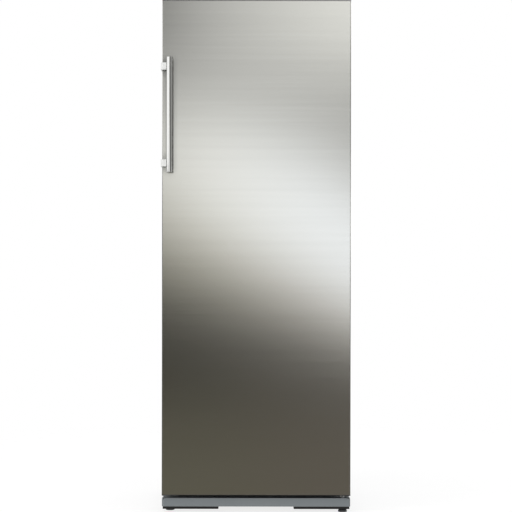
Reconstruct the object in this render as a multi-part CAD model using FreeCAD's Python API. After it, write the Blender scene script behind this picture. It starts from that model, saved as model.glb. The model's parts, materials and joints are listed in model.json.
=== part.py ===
import FreeCAD, Part
import math
import os

# Upright freezer, one door hinged on the right. Millimetres, x right, y back, z up, floor at z = 0.
os.makedirs("parts", exist_ok=True)

# ---- cabinet ----
width = 600.0
half = width / 2
top_z = 1630.0
front_y = -237.5            # front plane of the cabinet, the seal meets it
cabinet_depth = 552.5
back_y = front_y + cabinet_depth
sheet = 0.7                 # painted steel sheet
side_flange = 52.0          # front flange of a side panel, the seal's magnet holds on it
rear_flange = 14.0
top_panel_height = 18.0
top_panel_z = top_z - top_panel_height
floor_z = 44.0              # underside of the cabinet
side_wall = 70.0            # side panel to liner
rear_wall = 62.0
top_foam = 54.0             # top panel down to the cavity
cavity_z = 106.0
bay_count = 6
bay_pitch = (top_panel_z - top_foam - cavity_z) / bay_count     # one compartment
liner_wall = 1.5
liner_radius = 15.0
cavity_half = half - side_wall
cavity_top = cavity_z + bay_pitch * bay_count
cavity_back = back_y - rear_wall

# ---- machine niche at the bottom back, and the step it makes in the liner ----
niche_depth = 180.0
niche_height = 196.0
niche_foam = 50.0
niche_y = back_y - niche_depth
niche_z = floor_z + niche_height
hump_y = niche_y - niche_foam
hump_z = niche_z + niche_foam

# ---- door ----
gasket_gap = 13.0
gasket_clear = 0.2
door_thick = 52.0
door_back = front_y - gasket_gap
door_front = door_back - door_thick
door_z = 55.0
skin_wall = 0.8
skin_radius = 2.5
skin_return = 14.0
cap_lip = 3.0               # edge of an end cap that shows past the skin
cap_height = 18.0
cap_wall = 2.5
door_liner_wall = 2.0
pad_height = 8.0            # raised pad of the door liner
pad_clear = 5.0             # pad inside the cavity's walls
pad_half = cavity_half - pad_clear
pad_ends = 12.0             # pad short of the cavity's top and floor
pad_radius = 26.0
gasket_width = 20.0
gasket_overlap = 26.0       # seal's outer edge past the cavity, above and below

# ---- hinges ----
hinge_side = 25.0
hinge_depth = 24.0
hinge_x = half - hinge_side
hinge_y = door_front + hinge_depth
top_pin_r = 4.0
low_pin_r = 3.0
pin_clear = 0.06
bush_r = 7.0
arm_half = 8.5
plate_thick = 3.0
pocket_floor = 3.0
pocket_deep = 7.0

# ---- plinth, carriers and feet ----
plinth_z = 19.0
plinth_top = 43.0
plinth_wall = 2.5
plinth_front = door_front + 10.5
carrier_z = 11.0
carrier_wall = 1.5
carrier_inner = 120.0       # the carriers leave the middle of the front open
foot_r = 14.25
foot_side = 24.0
stud_r = 5.0
stud_clear = 0.08
roller_r = 11.0
roller_width = 18.0
axle_r = 4.0

# ---- evaporator and condenser ----
tube_flat = 8.0             # across the flats of the six-sided evaporator tube
wire = 2.0
run_count = 6
run_margin = 40.0           # outermost run to the liner's wall
run_pitch = 2 * (cavity_half - run_margin) / (run_count - 1)
cond_flat = 6.0
cond_wire = 1.5
cond_runs = 20
cond_margin = 38.0          # outermost bends to the cabinet's sides
cond_half = half - cond_margin
cond_z = 330.0
cond_top = top_z - 160.0
cond_pitch = (cond_top - cond_z) / (cond_runs - 1)
cond_gap = 23.0             # back panel to the condenser tube

# ---- drawers and flaps ----
drawer_clear = 8.0          # each side, past the liner's ledges' outer ends
drawer_half = cavity_half - drawer_clear
drawer_front = hinge_y + 66.5   # foremost edge of the grips
front_thick = 3.0
grip_reach = 14.0
tub_wall = 2.0
tub_radius = 18.0
tub_head = 46.0             # free height above a tub
tub_height = bay_pitch - tub_head
run_gap = 0.2
front_gap = 9.0
flap_thick = 3.0
flap_pin_r = 2.5
flap_pin_long = 5.0
flap_side_gap = 1.2
flap_pin_clear = 0.06

# ---- handle ----
bar_r = 9.75
bar_inset = 24.0            # bar's middle from the door's left edge
bar_x = -half + bar_inset
bar_long = 368.0
bar_high = top_z - 181.0
bar_low = bar_high - bar_long
bar_reach = 45.0            # front of the bar ahead of the door
bracket_tall = 22.0
bracket_out = 3.0           # bracket's plate on the door's side
bracket_back = 42.0         # how far that plate reaches along the side
bracket_levels = (bar_low + 29.0, bar_high - 33.0)


def at(plane, u, v, w):
    if plane == "xy":
        return FreeCAD.Vector(u, v, w)
    if plane == "xz":
        return FreeCAD.Vector(u, w, v)
    return FreeCAD.Vector(w, u, v)


def outline(plane, w, points, radii=0.0):
    """Closed wire through the points, each corner rounded by its radius."""
    n = len(points)
    radii = [radii] * n if isinstance(radii, (int, float)) else radii
    starts = []
    ends = []
    mids = []
    for i in range(n):
        p = FreeCAD.Vector(points[i][0], points[i][1], 0)
        a = FreeCAD.Vector(points[i - 1][0], points[i - 1][1], 0) - p
        b = FreeCAD.Vector(points[(i + 1) % n][0], points[(i + 1) % n][1], 0) - p
        a.normalize()
        b.normalize()
        r = radii[i]
        if r <= 0:
            starts.append(p)
            ends.append(p)
            mids.append(None)
            continue
        angle = a.getAngle(b)
        reach = r / math.tan(angle / 2)
        middle = a + b
        middle.normalize()
        starts.append(p + a * reach)
        ends.append(p + b * reach)
        mids.append(p + middle * (r / math.sin(angle / 2) - r))
    edges = []
    for i in range(n):
        if mids[i] is not None:
            three = [at(plane, q.x, q.y, w) for q in (starts[i], mids[i], ends[i])]
            edges.append(Part.Arc(*three).toShape())
        q = starts[(i + 1) % n]
        if (q - ends[i]).Length > 1e-6:
            edges.append(Part.makeLine(at(plane, ends[i].x, ends[i].y, w), at(plane, q.x, q.y, w)))
    return Part.Wire(edges)


def prism(plane, w0, w1, points, radii=0.0):
    """Profile in a plane, carried from w0 to w1 along the third axis."""
    face = Part.Face(outline(plane, w0, points, radii))
    return face.extrude(at(plane, 0, 0, w1 - w0))


def slab(plane, u0, u1, v0, v1, w0, w1, radius=0.0):
    return prism(plane, w0, w1, [(u0, v0), (u1, v0), (u1, v1), (u0, v1)], radius)


def block(x0, x1, y0, y1, z0, z1):
    return slab("xy", x0, x1, y0, y1, z0, z1)


def folded(plane, w0, w1, points, thick, radius):
    """Bent sheet: an open line of corners, its thickness on the left of the line."""
    inner = []
    n = len(points)
    turns = []
    for i in range(n):
        p = FreeCAD.Vector(points[i][0], points[i][1], 0)
        before = p - FreeCAD.Vector(points[i - 1][0], points[i - 1][1], 0) if i else None
        after = FreeCAD.Vector(points[i + 1][0], points[i + 1][1], 0) - p if i < n - 1 else None
        before = after if before is None else before
        after = before if after is None else after
        before.normalize()
        after.normalize()
        left0 = FreeCAD.Vector(-before.y, before.x, 0)
        left1 = FreeCAD.Vector(-after.y, after.x, 0)
        corner = left0 + left1
        corner.multiply(thick / (1 + left0.dot(left1)))
        inner.append((p.x + corner.x, p.y + corner.y))
        turns.append(before.x * after.y - before.y * after.x)
    outer_r = []
    inner_r = []
    if radius == 0:
        return prism(plane, w0, w1, list(points) + inner[::-1])
    for i in range(n):
        end = i in (0, n - 1)
        outer_r.append(0.0 if end else (radius if turns[i] > 0 else radius - thick))
        inner_r.append(0.0 if end else (radius - thick if turns[i] > 0 else radius))
    return prism(plane, w0, w1, list(points) + inner[::-1], outer_r + inner_r[::-1])


def rod(x, y, z, r, length, axis="z"):
    direction = {"x": FreeCAD.Vector(1, 0, 0), "y": FreeCAD.Vector(0, 1, 0), "z": FreeCAD.Vector(0, 0, 1)}
    return Part.makeCylinder(r, length, FreeCAD.Vector(x, y, z), direction[axis])


def turned(profile, x, y):
    """Solid of revolution about a vertical line, from (radius, height) corners."""
    points = [FreeCAD.Vector(x + r, y, h) for r, h in profile]
    face = Part.Face(Part.makePolygon(points + points[:1]))
    return face.revolve(FreeCAD.Vector(x, y, 0), FreeCAD.Vector(0, 0, 1), 360)


def lathe(profile, x, y, sides):
    """Faceted body of revolution about a vertical line, from (radius, height) corners going up."""
    rings = []
    for r, h in profile:
        turn = [2 * math.pi * (k + 0.5) / sides for k in range(sides)]
        rings.append([FreeCAD.Vector(x + r * math.cos(a), y + r * math.sin(a), h) for a in turn])
    faces = [Part.Face(Part.makePolygon(ring + ring[:1])) for ring in (rings[0], rings[-1])]
    for low, high in zip(rings, rings[1:]):
        for k in range(sides):
            quad = [low[k], low[(k + 1) % sides], high[(k + 1) % sides], high[k]]
            faces.append(Part.Face(Part.makePolygon(quad + quad[:1])))
    solid = Part.Solid(Part.Shell(faces))
    if solid.Volume < 0:
        solid.reverse()
    return solid


def nut_shape(x, y, z, flat, tall, sides=6, axis="z"):
    """Six-sided or many-sided prism measured across its flats."""
    r = flat / 2 / math.cos(math.pi / sides)
    turn = [2 * math.pi * (k + 0.5) / sides for k in range(sides)]
    if axis == "z":
        return prism("xy", z, z + tall, [(x + r * math.cos(a), y + r * math.sin(a)) for a in turn])
    if axis == "y":
        return prism("xz", y, y + tall, [(x + r * math.cos(a), z + r * math.sin(a)) for a in turn])
    return prism("yz", x, x + tall, [(y + r * math.cos(a), z + r * math.sin(a)) for a in turn])


def hex_tube(path, flat, up=(0, 0, 1)):
    """Six-sided rod along a path, mitred at every corner, two of its flats facing up."""
    path = [FreeCAD.Vector(*p) for p in path]
    corner = flat / math.sqrt(3)
    n = len(path)
    legs = [path[i + 1] - path[i] for i in range(n - 1)]
    for leg in legs:
        leg.normalize()
    up = FreeCAD.Vector(*up)
    if abs(legs[0].dot(up)) > 0.9:
        up = FreeCAD.Vector(0, 1, 0)
    side = legs[0].cross(up)
    side.normalize()
    rise = side.cross(legs[0])
    ring = []
    for k in range(6):
        a = math.radians(60 * k)
        ring.append(path[0] + side * (corner * math.cos(a)) + rise * (corner * math.sin(a)))
    faces = [Part.Face(Part.makePolygon(ring + ring[:1]))]
    for i in range(n - 1):
        normal = legs[i] + legs[i + 1] if i < n - 2 else legs[i]
        ahead = []
        for p in ring:
            t = (path[i + 1] - p).dot(normal) / legs[i].dot(normal)
            ahead.append(p + legs[i] * t)
        for k in range(6):
            quad = [ring[k], ring[(k + 1) % 6], ahead[(k + 1) % 6], ahead[k]]
            faces.append(Part.Face(Part.makePolygon(quad + quad[:1])))
        ring = ahead
    faces.append(Part.Face(Part.makePolygon(ring + ring[:1])))
    solid = Part.Solid(Part.Shell(faces))
    if solid.Volume < 0:
        solid.reverse()
    return solid


def bend(centre, r, start, end, steps=4):
    """Corners of a bend in a plane, angles in degrees."""
    points = []
    for k in range(1, steps):
        a = math.radians(start + (end - start) * k / steps)
        points.append((centre[0] + r * math.cos(a), centre[1] + r * math.sin(a)))
    return points


def mirror(shape):
    return shape.mirror(FreeCAD.Vector(0, 0, 0), FreeCAD.Vector(1, 0, 0))


def save(name, shapes):
    shapes = shapes if isinstance(shapes, list) else [shapes]
    solids = []
    for shape in shapes:
        solids.extend(shape.Solids)
    shape = solids[0] if len(solids) == 1 else Part.makeCompound(solids)
    shape.exportStep("parts/" + name + ".step")


# ---- cabinet shell ----
side_left = folded("xy", floor_z, top_panel_z, [
    (-half + rear_flange, back_y), (-half, back_y), (-half, front_y),
    (-half + side_flange, front_y)], sheet, 2.0)
save("side_panel_left", side_left)
save("side_panel_right", mirror(side_left))

inner_half = half - sheet
back_panel_y = back_y - 2 * sheet
panel_half = inner_half - 1.5     # clears the bends of the side panels
back_panel = block(-panel_half, panel_half, back_panel_y, back_y - sheet, niche_z, top_panel_z)
save("back_panel", back_panel)

bottom_panel = folded("yz", -panel_half, panel_half, [
    (front_y + sheet, floor_z), (niche_y, floor_z), (niche_y, niche_z),
    (back_panel_y, niche_z)], sheet, 2.0)

# front rails between the side flanges, above and below the cavity
rail_half = half - side_flange
rail_top_z = cavity_top + liner_wall + 0.5
rail_low_z = cavity_z - liner_wall - 0.5
rail_top = folded("yz", -rail_half, rail_half, [
    (front_y + 14, rail_top_z), (front_y, rail_top_z), (front_y, top_panel_z),
    (front_y + 14, top_panel_z)][::-1], sheet, 1.5)
rail_low = folded("yz", -rail_half, rail_half, [
    (front_y + 14, floor_z + sheet), (front_y, floor_z + sheet), (front_y, rail_low_z),
    (front_y + 14, rail_low_z)][::-1], sheet, 1.5)

# thermostat body sits in a pocket behind the fascia
fascia_z = cavity_top + gasket_overlap + 4
fascia_height = 22.0
fascia_half = cavity_half + 10.0
fascia_thick = 3.0
fascia_front = front_y - fascia_thick
fascia_mid = fascia_z + fascia_height / 2
knob_x = -60.0
knob_shaft_r = 3.0
button_x = 20.0
button_half = 7.0
button_tall = 5.0
button_clear = 0.25
button_travel = 2.0
button_proud = button_travel + 0.6
lens_x = (70.0, 90.0, 110.0)
body_half = 15.0
body_deep = 26.0
body_tall = 16.0
control_pocket = block(knob_x - body_half - 1, knob_x + body_half + 1, front_y - 1,
                       front_y + body_deep + 1, fascia_mid - 9, fascia_mid + 9)
button_pocket = block(button_x - button_half - 1, button_x + button_half + 1, front_y - 1,
                      front_y + 12, fascia_mid - button_tall - 1, fascia_mid + button_tall + 1)
rail_top = rail_top.cut(control_pocket).cut(button_pocket)
save("front_rails", [rail_top, rail_low])

# liner: a rounded tube with a back wall, stepped over the machine niche
lip_half = rail_half - 1.0
cavity = slab("xz", -cavity_half, cavity_half, cavity_z, cavity_top, front_y - 1, cavity_back, liner_radius)
cavity = cavity.cut(block(-half, half, hump_y, back_y, cavity_z - 5, hump_z))
outer = slab("xz", -cavity_half - liner_wall, cavity_half + liner_wall, cavity_z - liner_wall,
             cavity_top + liner_wall, front_y, cavity_back + liner_wall, liner_radius + liner_wall)
outer = outer.cut(block(-half, half, hump_y + liner_wall, back_y, cavity_z - 5, hump_z - liner_wall))
lip = block(-lip_half, lip_half, front_y, front_y + liner_wall, cavity_z - liner_wall, cavity_top + liner_wall)
outer = outer.fuse(lip)
ledge_reach = 12.0
ledge_tall = 10.0
ledge_edge = 4.0
ridge_half = 7.0
ridge_places = (-150.0, 0.0, 150.0)
sunk = 0.5                      # moulded detail starts this far inside its wall
ridge_tall = tube_flat / 2      # floor ridges lift the lowest drawer as the shelf tubes lift the others
shelf_levels = [cavity_z + bay_pitch * i for i in range(1, bay_count)]
shelf_front = front_y + 47.5
ledge_front = front_y + 60
ledge_back = cavity_back - 24
liner = outer.cut(cavity)
ledges = []
for level in shelf_levels:
    top = level - tube_flat / 2 - wire
    wall = cavity_half + sunk
    edge = cavity_half - ledge_reach
    profile = [(wall, top), (edge, top), (edge, top - ledge_edge), (wall, top - ledge_tall)]
    ledge = prism("xz", ledge_front, ledge_back, profile)
    ledges.extend([ledge, mirror(ledge)])
for x in ridge_places:
    ledges.append(block(x - ridge_half, x + ridge_half, ledge_front, hump_y - 12, cavity_z - sunk,
                        cavity_z + ridge_tall))
liner = liner.multiFuse(ledges)

# ---- evaporator: one tube that forms the shelves ----
run_r = run_pitch / 2
run_x = [(i - (run_count - 1) / 2) * run_pitch for i in range(run_count)]
run_front = shelf_front + run_r + tube_flat
run_back = ledge_back - run_r - 4
tail_y = cavity_back - 17.0
evaporator = []
for level in shelf_levels:
    path = [(run_x[0], tail_y)]
    for i in range(run_count - 1):
        middle = (run_x[i] + run_x[i + 1]) / 2
        if i % 2 == 0:
            path.append((run_x[i], run_front))
            path.extend(bend((middle, run_front), run_r, 180, 360))
            path.append((run_x[i + 1], run_front))
        else:
            path.append((run_x[i], run_back))
            path.extend(bend((middle, run_back), run_r, 180, 0))
            path.append((run_x[i + 1], run_back))
    path.append((run_x[-1], tail_y))
    evaporator.append(hex_tube([(x, y, level) for x, y in path], tube_flat))
riser_y = cavity_back - 8.0
for i in range(len(shelf_levels) - 1):
    x = run_x[0] if i % 2 == 0 else run_x[-1]
    low = shelf_levels[i]
    high = shelf_levels[i + 1]
    evaporator.append(hex_tube([(x, tail_y, low), (x, riser_y, low), (x, riser_y, high), (x, tail_y, high)],
                               tube_flat))
save("evaporator_tube", evaporator)

wires = []
wire_count = 15
wire_first = ledge_front + 8
wire_step = (ledge_back - 12 - wire_first) / (wire_count - 1)
for level in shelf_levels:
    top = level - tube_flat / 2
    for i in range(wire_count):
        y = wire_first + wire_step * i
        wires.append(block(-cavity_half + 2, cavity_half - 2, y - wire / 2, y + wire / 2, top - wire, top))
save("evaporator_wires", wires)

# ---- cooling machine in the niche ----
tray_z = 27.5
tray_thick = 1.5
tray_half = half - 2.8
tray_front = niche_y + 12
tray_back = back_y - 5
tray = folded("yz", -tray_half + 26, tray_half - 26, [
    (tray_front, tray_z + 14), (tray_front, tray_z), (tray_back, tray_z), (tray_back, tray_z + 14)],
    tray_thick, 3.0)
tray = tray.fuse(block(-tray_half, tray_half, tray_front + 6, tray_back - 6, tray_z, tray_z + tray_thick))

comp_x = 70.0
comp_y = niche_y + 92
comp_r = 72.0
comp_low = 50.0
comp_tall = 150.0
comp_plate = 3.0
grommet_r = 9.0
mount_x = 80.0
mount_y = 62.0
lug_r = 5.0
grommet_sides = 10
middle_z = comp_low + comp_tall * 0.55
dome_tall = 34.0
bowl_tall = 30.0
dome = []
for a in (0, 25, 50, 72):
    lift = dome_tall * math.sin(math.radians(a))
    dome.append((comp_r * math.cos(math.radians(a)), comp_low + comp_tall - dome_tall + lift))
bowl = []
for a in (60, 30, 0):
    drop = bowl_tall * math.sin(math.radians(a))
    bowl.append((comp_r * math.cos(math.radians(a)), comp_low + bowl_tall - drop))
seam = [(comp_r, middle_z - 3), (comp_r + 4, middle_z - 2), (comp_r + 4, middle_z + 2), (comp_r, middle_z + 3)]
compressor = lathe(bowl + seam + dome, comp_x, comp_y, 20)
foot_plate = slab("xy", comp_x - mount_x - 12, comp_x + mount_x + 12, comp_y - mount_y - 12,
                  comp_y + mount_y + 12, comp_low + 2, comp_low + 2 + comp_plate, 8.0)
grommets = []
mount_spots = [(comp_x + i * mount_x, comp_y + j * mount_y) for i in (-1, 1) for j in (-1, 1)]
grommet_low = tray_z + tray_thick
for x, y in mount_spots:
    seat = comp_low + 2
    neck = nut_shape(x, y, seat - 1, 2 * lug_r, comp_plate + 2, grommet_sides)
    foot_plate = foot_plate.cut(neck)
    corner_r = lug_r / math.cos(math.pi / grommet_sides)
    profile = [(grommet_r, grommet_low), (grommet_r, seat), (corner_r, seat), (corner_r, seat + comp_plate),
               (grommet_r - 1, seat + comp_plate), (grommet_r - 1, seat + comp_plate + 4)]
    grommets.append(lathe(profile, x, y, grommet_sides))
compressor = compressor.fuse(foot_plate)
save("compressor_tray", tray)
save("compressor_grommets", grommets)

relay_wide = 48.0
relay_low = 96.0
relay_tall = 60.0
relay_half = 26.0
relay_x = comp_x - comp_r - 40
relay = slab("xz", relay_x, relay_x + relay_wide, relay_low, relay_low + relay_tall,
             comp_y - relay_half, comp_y + relay_half)
relay = relay.makeChamfer(5.0, [e for e in relay.Edges if e.BoundBox.XMax < relay_x + 0.1])
relay = relay.cut(compressor)
save("compressor", compressor)
save("relay_cover", relay)

# terminal box on the niche's left wall, its gland open where a lead would enter
box_x = -inner_half
box_y = niche_y + 60
box_out = 42.0
box_deep = 74.0
box_low = 110.0
box_tall = 56.0
box_wall = 2.5
gland_r = 8.0
gland_bore = 4.5
gland_long = 12.0
gland_x = box_x + 20
gland_y = box_y + box_deep
gland_z = box_low + box_tall / 2
terminal = block(box_x, box_x + box_out, box_y, gland_y, box_low, box_low + box_tall)
terminal = terminal.makeChamfer(4.0, [e for e in terminal.Edges if e.BoundBox.XMin > box_x + box_out - 0.1])
terminal = terminal.cut(block(box_x + box_wall, box_x + box_out - 2 * box_wall, box_y + box_wall,
                              gland_y - box_wall, box_low + box_wall, box_low + box_tall - box_wall))
gland = nut_shape(gland_x, gland_y - box_wall, gland_z, 2 * gland_r, gland_long + box_wall, 6, "y")
terminal = terminal.fuse(gland).cut(rod(gland_x, gland_y - 2 * box_wall, gland_z, gland_bore, 20, "y"))
save("mains_terminal_box", terminal)

# ---- condenser on the back ----
cond_y = back_y + cond_gap + cond_flat / 2
cond_r = cond_pitch / 2
cond_end = cond_half - cond_r - cond_flat * 0.58
path = [(-cond_end, cond_z)]
for i in range(cond_runs):
    z = cond_z + cond_pitch * i
    side = 1 if i % 2 == 0 else -1
    path.append((side * cond_end, z))
    if i < cond_runs - 1:
        turn = bend((side * cond_end, z + cond_r), cond_r, -90, 90 if side > 0 else -270)
        path.extend(turn)
        path.append((side * cond_end, z + cond_pitch))
clean = []
for p in path:
    if not clean or math.dist(clean[-1], p) > 0.01:
        clean.append(p)
condenser = hex_tube([(x, cond_y, z) for x, z in clean], cond_flat, (0, 1, 0))
save("condenser_tube", condenser)
cond_wires = []
cond_wire_count = 17
for i in range(cond_wire_count):
    x = (cond_end - 26) * (2 * i / (cond_wire_count - 1) - 1)
    near = cond_y - cond_flat / 2
    far = cond_y + cond_flat / 2
    low = cond_z - 12
    high = cond_top + 12
    cond_wires.append(block(x - cond_wire / 2, x + cond_wire / 2, near - cond_wire, near, low, high))
    cond_wires.append(block(x - cond_wire / 2, x + cond_wire / 2, far, far + cond_wire, low, high))
save("condenser_wires", cond_wires)

# clips: a foot on the back panel, a neck and a saddle that holds one run from both sides
clips = []
clip_wide = 16.0
clip_tall = 14.0
clip_foot = 3.0
clip_neck = 5.0
clip_far = cond_y + 6.5
clip_near = cond_y - cond_flat / 2
slot_clear = cond_flat / math.sqrt(3) + 0.1
for i in (2, cond_runs - 3):
    z = cond_z + cond_pitch * i
    for x in (-cond_end + 12, cond_end - 12):
        seat = back_y - sheet
        foot = seat + clip_foot
        side_view = [(seat, z - clip_tall), (foot, z - clip_tall), (foot, z - clip_neck),
                     (clip_far, z - clip_neck), (clip_far, z - slot_clear), (clip_near, z - slot_clear),
                     (clip_near, z + slot_clear), (clip_far, z + slot_clear), (clip_far, z + clip_neck),
                     (foot, z + clip_neck), (foot, z + clip_tall), (seat, z + clip_tall)]
        clips.append(prism("yz", x - clip_wide / 2, x + clip_wide / 2, side_view))
save("condenser_clips", clips)

# ---- pipes, drier ----
pipe = 6.0
pipe_sunk = 0.3                 # pipe ends brazed this far into a wall
capillary_flat = 2.4
drier_x = -150.0
drier_y = back_y - 22
drier_low = 112.0
drier_tall = 96.0
drier_r = 8.0
drier_neck = 3.5
drier_high = drier_low + drier_tall
drier = lathe([(drier_neck, drier_low), (drier_neck, drier_low + 6), (drier_r, drier_low + 12),
               (drier_r, drier_high - 12), (drier_neck, drier_high - 6), (drier_neck, drier_high)],
              drier_x, drier_y, 12)
save("filter_drier", drier)
shelf_low = shelf_levels[0]
shelf_high = shelf_levels[-1]
duct_y = back_panel_y - 24
free_x = run_x[-1]
last_x = run_x[0] if len(shelf_levels) % 2 == 1 else run_x[-1]
port_z = comp_low + comp_tall * 0.62
side_reach = comp_x + comp_r - pipe_sunk
hot_z = port_z - 22
hot_x = -cond_end - 8
hot_y = back_y - 12
liquid_z = drier_high + 14
fine_low = drier_low - 16
fine_high = drier_high + 18
suction = hex_tube([(free_x, tail_y, shelf_low), (free_x, duct_y, shelf_low), (free_x, duct_y, port_z),
                    (free_x, comp_y, port_z), (side_reach, comp_y, port_z)], pipe)
discharge = hex_tube([(comp_x, comp_y + comp_r - pipe_sunk, hot_z), (comp_x, hot_y, hot_z),
                      (hot_x, hot_y, hot_z), (hot_x, cond_y, hot_z), (hot_x, cond_y, cond_z),
                      (-cond_end, cond_y, cond_z)], pipe)
return_side = -1 if cond_runs % 2 == 0 else 1
return_x = return_side * (cond_half + 10)
liquid = hex_tube([(return_side * cond_end, cond_y, cond_top), (return_x, cond_y, cond_top),
                   (return_x, cond_y, liquid_z), (return_x, drier_y, liquid_z), (drier_x, drier_y, liquid_z),
                   (drier_x, drier_y, drier_high)], pipe)
fine_x = drier_x + 34
capillary = hex_tube([(drier_x, drier_y, drier_low), (drier_x, drier_y, fine_low), (fine_x, drier_y, fine_low),
                      (fine_x, drier_y, fine_high), (fine_x, duct_y, fine_high), (fine_x, duct_y, shelf_high),
                      (last_x, duct_y, shelf_high), (last_x, tail_y, shelf_high)], capillary_flat)
suction = suction.cut(compressor)
discharge = discharge.cut(compressor)
save("refrigerant_pipes", [suction, discharge, liquid, capillary])
liner = liner.cut(suction).cut(capillary)
foam_ducts = [suction, capillary]
for shape in foam_ducts:
    bottom_panel = bottom_panel.cut(shape)
save("inner_liner", liner)
save("bottom_panel", bottom_panel)

# ---- base: rails, roller forks, carriers ----
rail_z = tray_z - carrier_wall
rail_front = front_y + 52
rail_flange = 28.0
rail = folded("xz", rail_front, back_y - 2, [
    (half - rail_flange, rail_z), (half - sheet, rail_z), (half - sheet, floor_z),
    (half - rail_flange, floor_z)], carrier_wall, 0)
fork_y = back_y - 25
fork_low = 4.5
fork_wall = 2.0
fork_deep = 12.0
fork_gap = roller_width / 2 + 1.0
fork_out = fork_gap + fork_wall
wheel_x = half - 26
fork = folded("xz", fork_y - fork_deep, fork_y + fork_deep, [
    (wheel_x + fork_out, fork_low), (wheel_x + fork_out, rail_z), (wheel_x - fork_out, rail_z),
    (wheel_x - fork_out, fork_low)], fork_wall, 0)
fork = fork.cut(rod(wheel_x - 2 * fork_gap, fork_y, roller_r, axle_r, 4 * fork_gap, "x"))
rail = rail.fuse(fork)
save("base_rails", [rail, mirror(rail)])
axle_flat = 2 * axle_r * math.cos(math.pi / 12) - 0.01
axle = nut_shape(wheel_x - fork_out - 2, fork_y, roller_r, axle_flat, 2 * fork_out + 4, 12, "x")
save("roller_axles", [axle, mirror(axle)])
tyre_edge = 1.5
roller_clear = 0.06
wheel = lathe([(roller_r - tyre_edge, 0), (roller_r, tyre_edge), (roller_r, roller_width - tyre_edge),
               (roller_r - tyre_edge, roller_width)], 0, 0, 18)
wheel = wheel.cut(rod(0, 0, -1, axle_r + roller_clear, roller_width + 2))
wheel.rotate(FreeCAD.Vector(0, 0, 0), FreeCAD.Vector(0, 1, 0), 90)
wheel.translate(FreeCAD.Vector(wheel_x - roller_width / 2, fork_y, roller_r))
save("rear_roller_right", wheel)
save("rear_roller_left", mirror(wheel))

# carriers: folded channels behind the plinth, the feet screw up through their floors
low_plate_thick = 4.0
low_plate_z = plinth_top - plinth_wall - low_plate_thick
carrier_front = plinth_front + plinth_wall
carrier_back = rail_front
carrier = folded("yz", carrier_inner, half - plinth_wall - 0.3, [
    (carrier_front, low_plate_z), (carrier_front, carrier_z), (carrier_back, carrier_z),
    (carrier_back, floor_z), (carrier_back - 16, floor_z)], carrier_wall, 0)
foot_x = half - foot_side
foot_spots = {"right": (foot_x, door_front + 32), "left": (-foot_x, door_front + 75)}
nut_tall = 8.0
carriers = []
for name, body in (("right", carrier), ("left", mirror(carrier))):
    x, y = foot_spots[name]
    hole = rod(x, y, carrier_z - 1, stud_r + stud_clear, 40)
    nut = nut_shape(x, y, carrier_z + carrier_wall, 17.0, nut_tall)
    carriers.append(body.fuse(nut).cut(hole))
save("foot_carriers", carriers)

for name in ("left", "right"):
    x, y = foot_spots[name]
    profile = [(foot_r - 2.5, 0), (foot_r, 2.0), (foot_r, 4.0), (foot_r - 1.2, 7.0), (foot_r - 4.5, 9.6),
               (stud_r + 0.5, 10.4)]
    foot = lathe(profile, x, y, 20).fuse(rod(x, y, 10.0, stud_r, 12.0))
    save("foot_" + name, foot)

# ---- hinges ----
plate_x0 = hinge_x - 60
plate_x1 = half - 8
plate_back = front_y + 80
top_floor = top_z - pocket_deep
plate_edge = front_y + 1.5
top_bracket = prism("xy", top_floor, top_floor + plate_thick, [
    (plate_x0, plate_edge), (hinge_x - arm_half, plate_edge), (hinge_x - arm_half, hinge_y),
    (hinge_x + arm_half, hinge_y), (hinge_x + arm_half, plate_edge), (plate_x1, plate_edge),
    (plate_x1, plate_back - 8), (plate_x1 - 8, plate_back), (plate_x0 + 8, plate_back),
    (plate_x0, plate_back - 8)])
top_bracket = top_bracket.fuse(rod(hinge_x, hinge_y, top_floor, arm_half, plate_thick))
top_pin_low = top_floor - 22
top_bracket = top_bracket.fuse(rod(hinge_x, hinge_y, top_pin_low, top_pin_r, 23))
screw_r = 2.8
head_r = 5.0
head_tall = 1.7
screw_deep = 14.0
screws = []
screw_holes = []
for x, y in ((plate_x0 + 14, front_y + 20), (plate_x1 - 14, front_y + 20), (hinge_x - 22, plate_back - 14)):
    seat = top_floor + plate_thick
    head = nut_shape(x, y, seat, 2 * head_r, head_tall, 12)
    socket = nut_shape(x, y, seat + 0.6, 4.0, head_tall)
    shank = nut_shape(x, y, top_panel_z - screw_deep, 2 * screw_r, seat - top_panel_z + screw_deep, 8)
    screws.append(shank.fuse(head).cut(socket))
    screw_holes.append(nut_shape(x, y, top_panel_z - screw_deep, 2 * screw_r,
                                 top_panel_height + screw_deep, 8))
for hole in screw_holes:
    top_bracket = top_bracket.cut(hole)
save("upper_hinge_bracket", top_bracket)

# top panel: open underneath, a pocket at each front corner for a hinge plate
top_panel = slab("xy", -half, half, front_y, back_y, top_panel_z, top_z, 4.0)
top_edges = [e for e in top_panel.Edges if e.BoundBox.ZMin > top_z - 0.1]
top_panel = top_panel.makeChamfer(1.5, top_edges)
top_wall = 2.5
hollow = block(-half + top_wall, half - top_wall, front_y + top_wall, back_y - top_wall,
               top_panel_z - 1, top_z - top_wall)
pocket_x0 = plate_x0 - 4
pocket_x1 = half - top_wall
pocket_back = plate_back + 4
pocket = block(pocket_x0, pocket_x1, front_y - 1, pocket_back, top_floor, top_z + 1)
around = block(pocket_x0 - top_wall, half, front_y, pocket_back + top_wall, top_panel_z, top_z)
for shape in (around, mirror(around)):
    hollow = hollow.cut(shape)
top_panel = top_panel.cut(hollow)
for shape in (pocket, mirror(pocket)):
    top_panel = top_panel.cut(shape)
for x0, x1 in ((pocket_x0 + 2, pocket_x1 - 2), (-pocket_x1 + 2, -pocket_x0 - 2)):
    top_panel = top_panel.cut(block(x0, x1, front_y + top_wall, pocket_back - 2, top_panel_z - 1,
                                    top_floor - pocket_floor))
for hole in screw_holes:
    top_panel = top_panel.cut(hole)
save("top_panel", top_panel)

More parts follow.
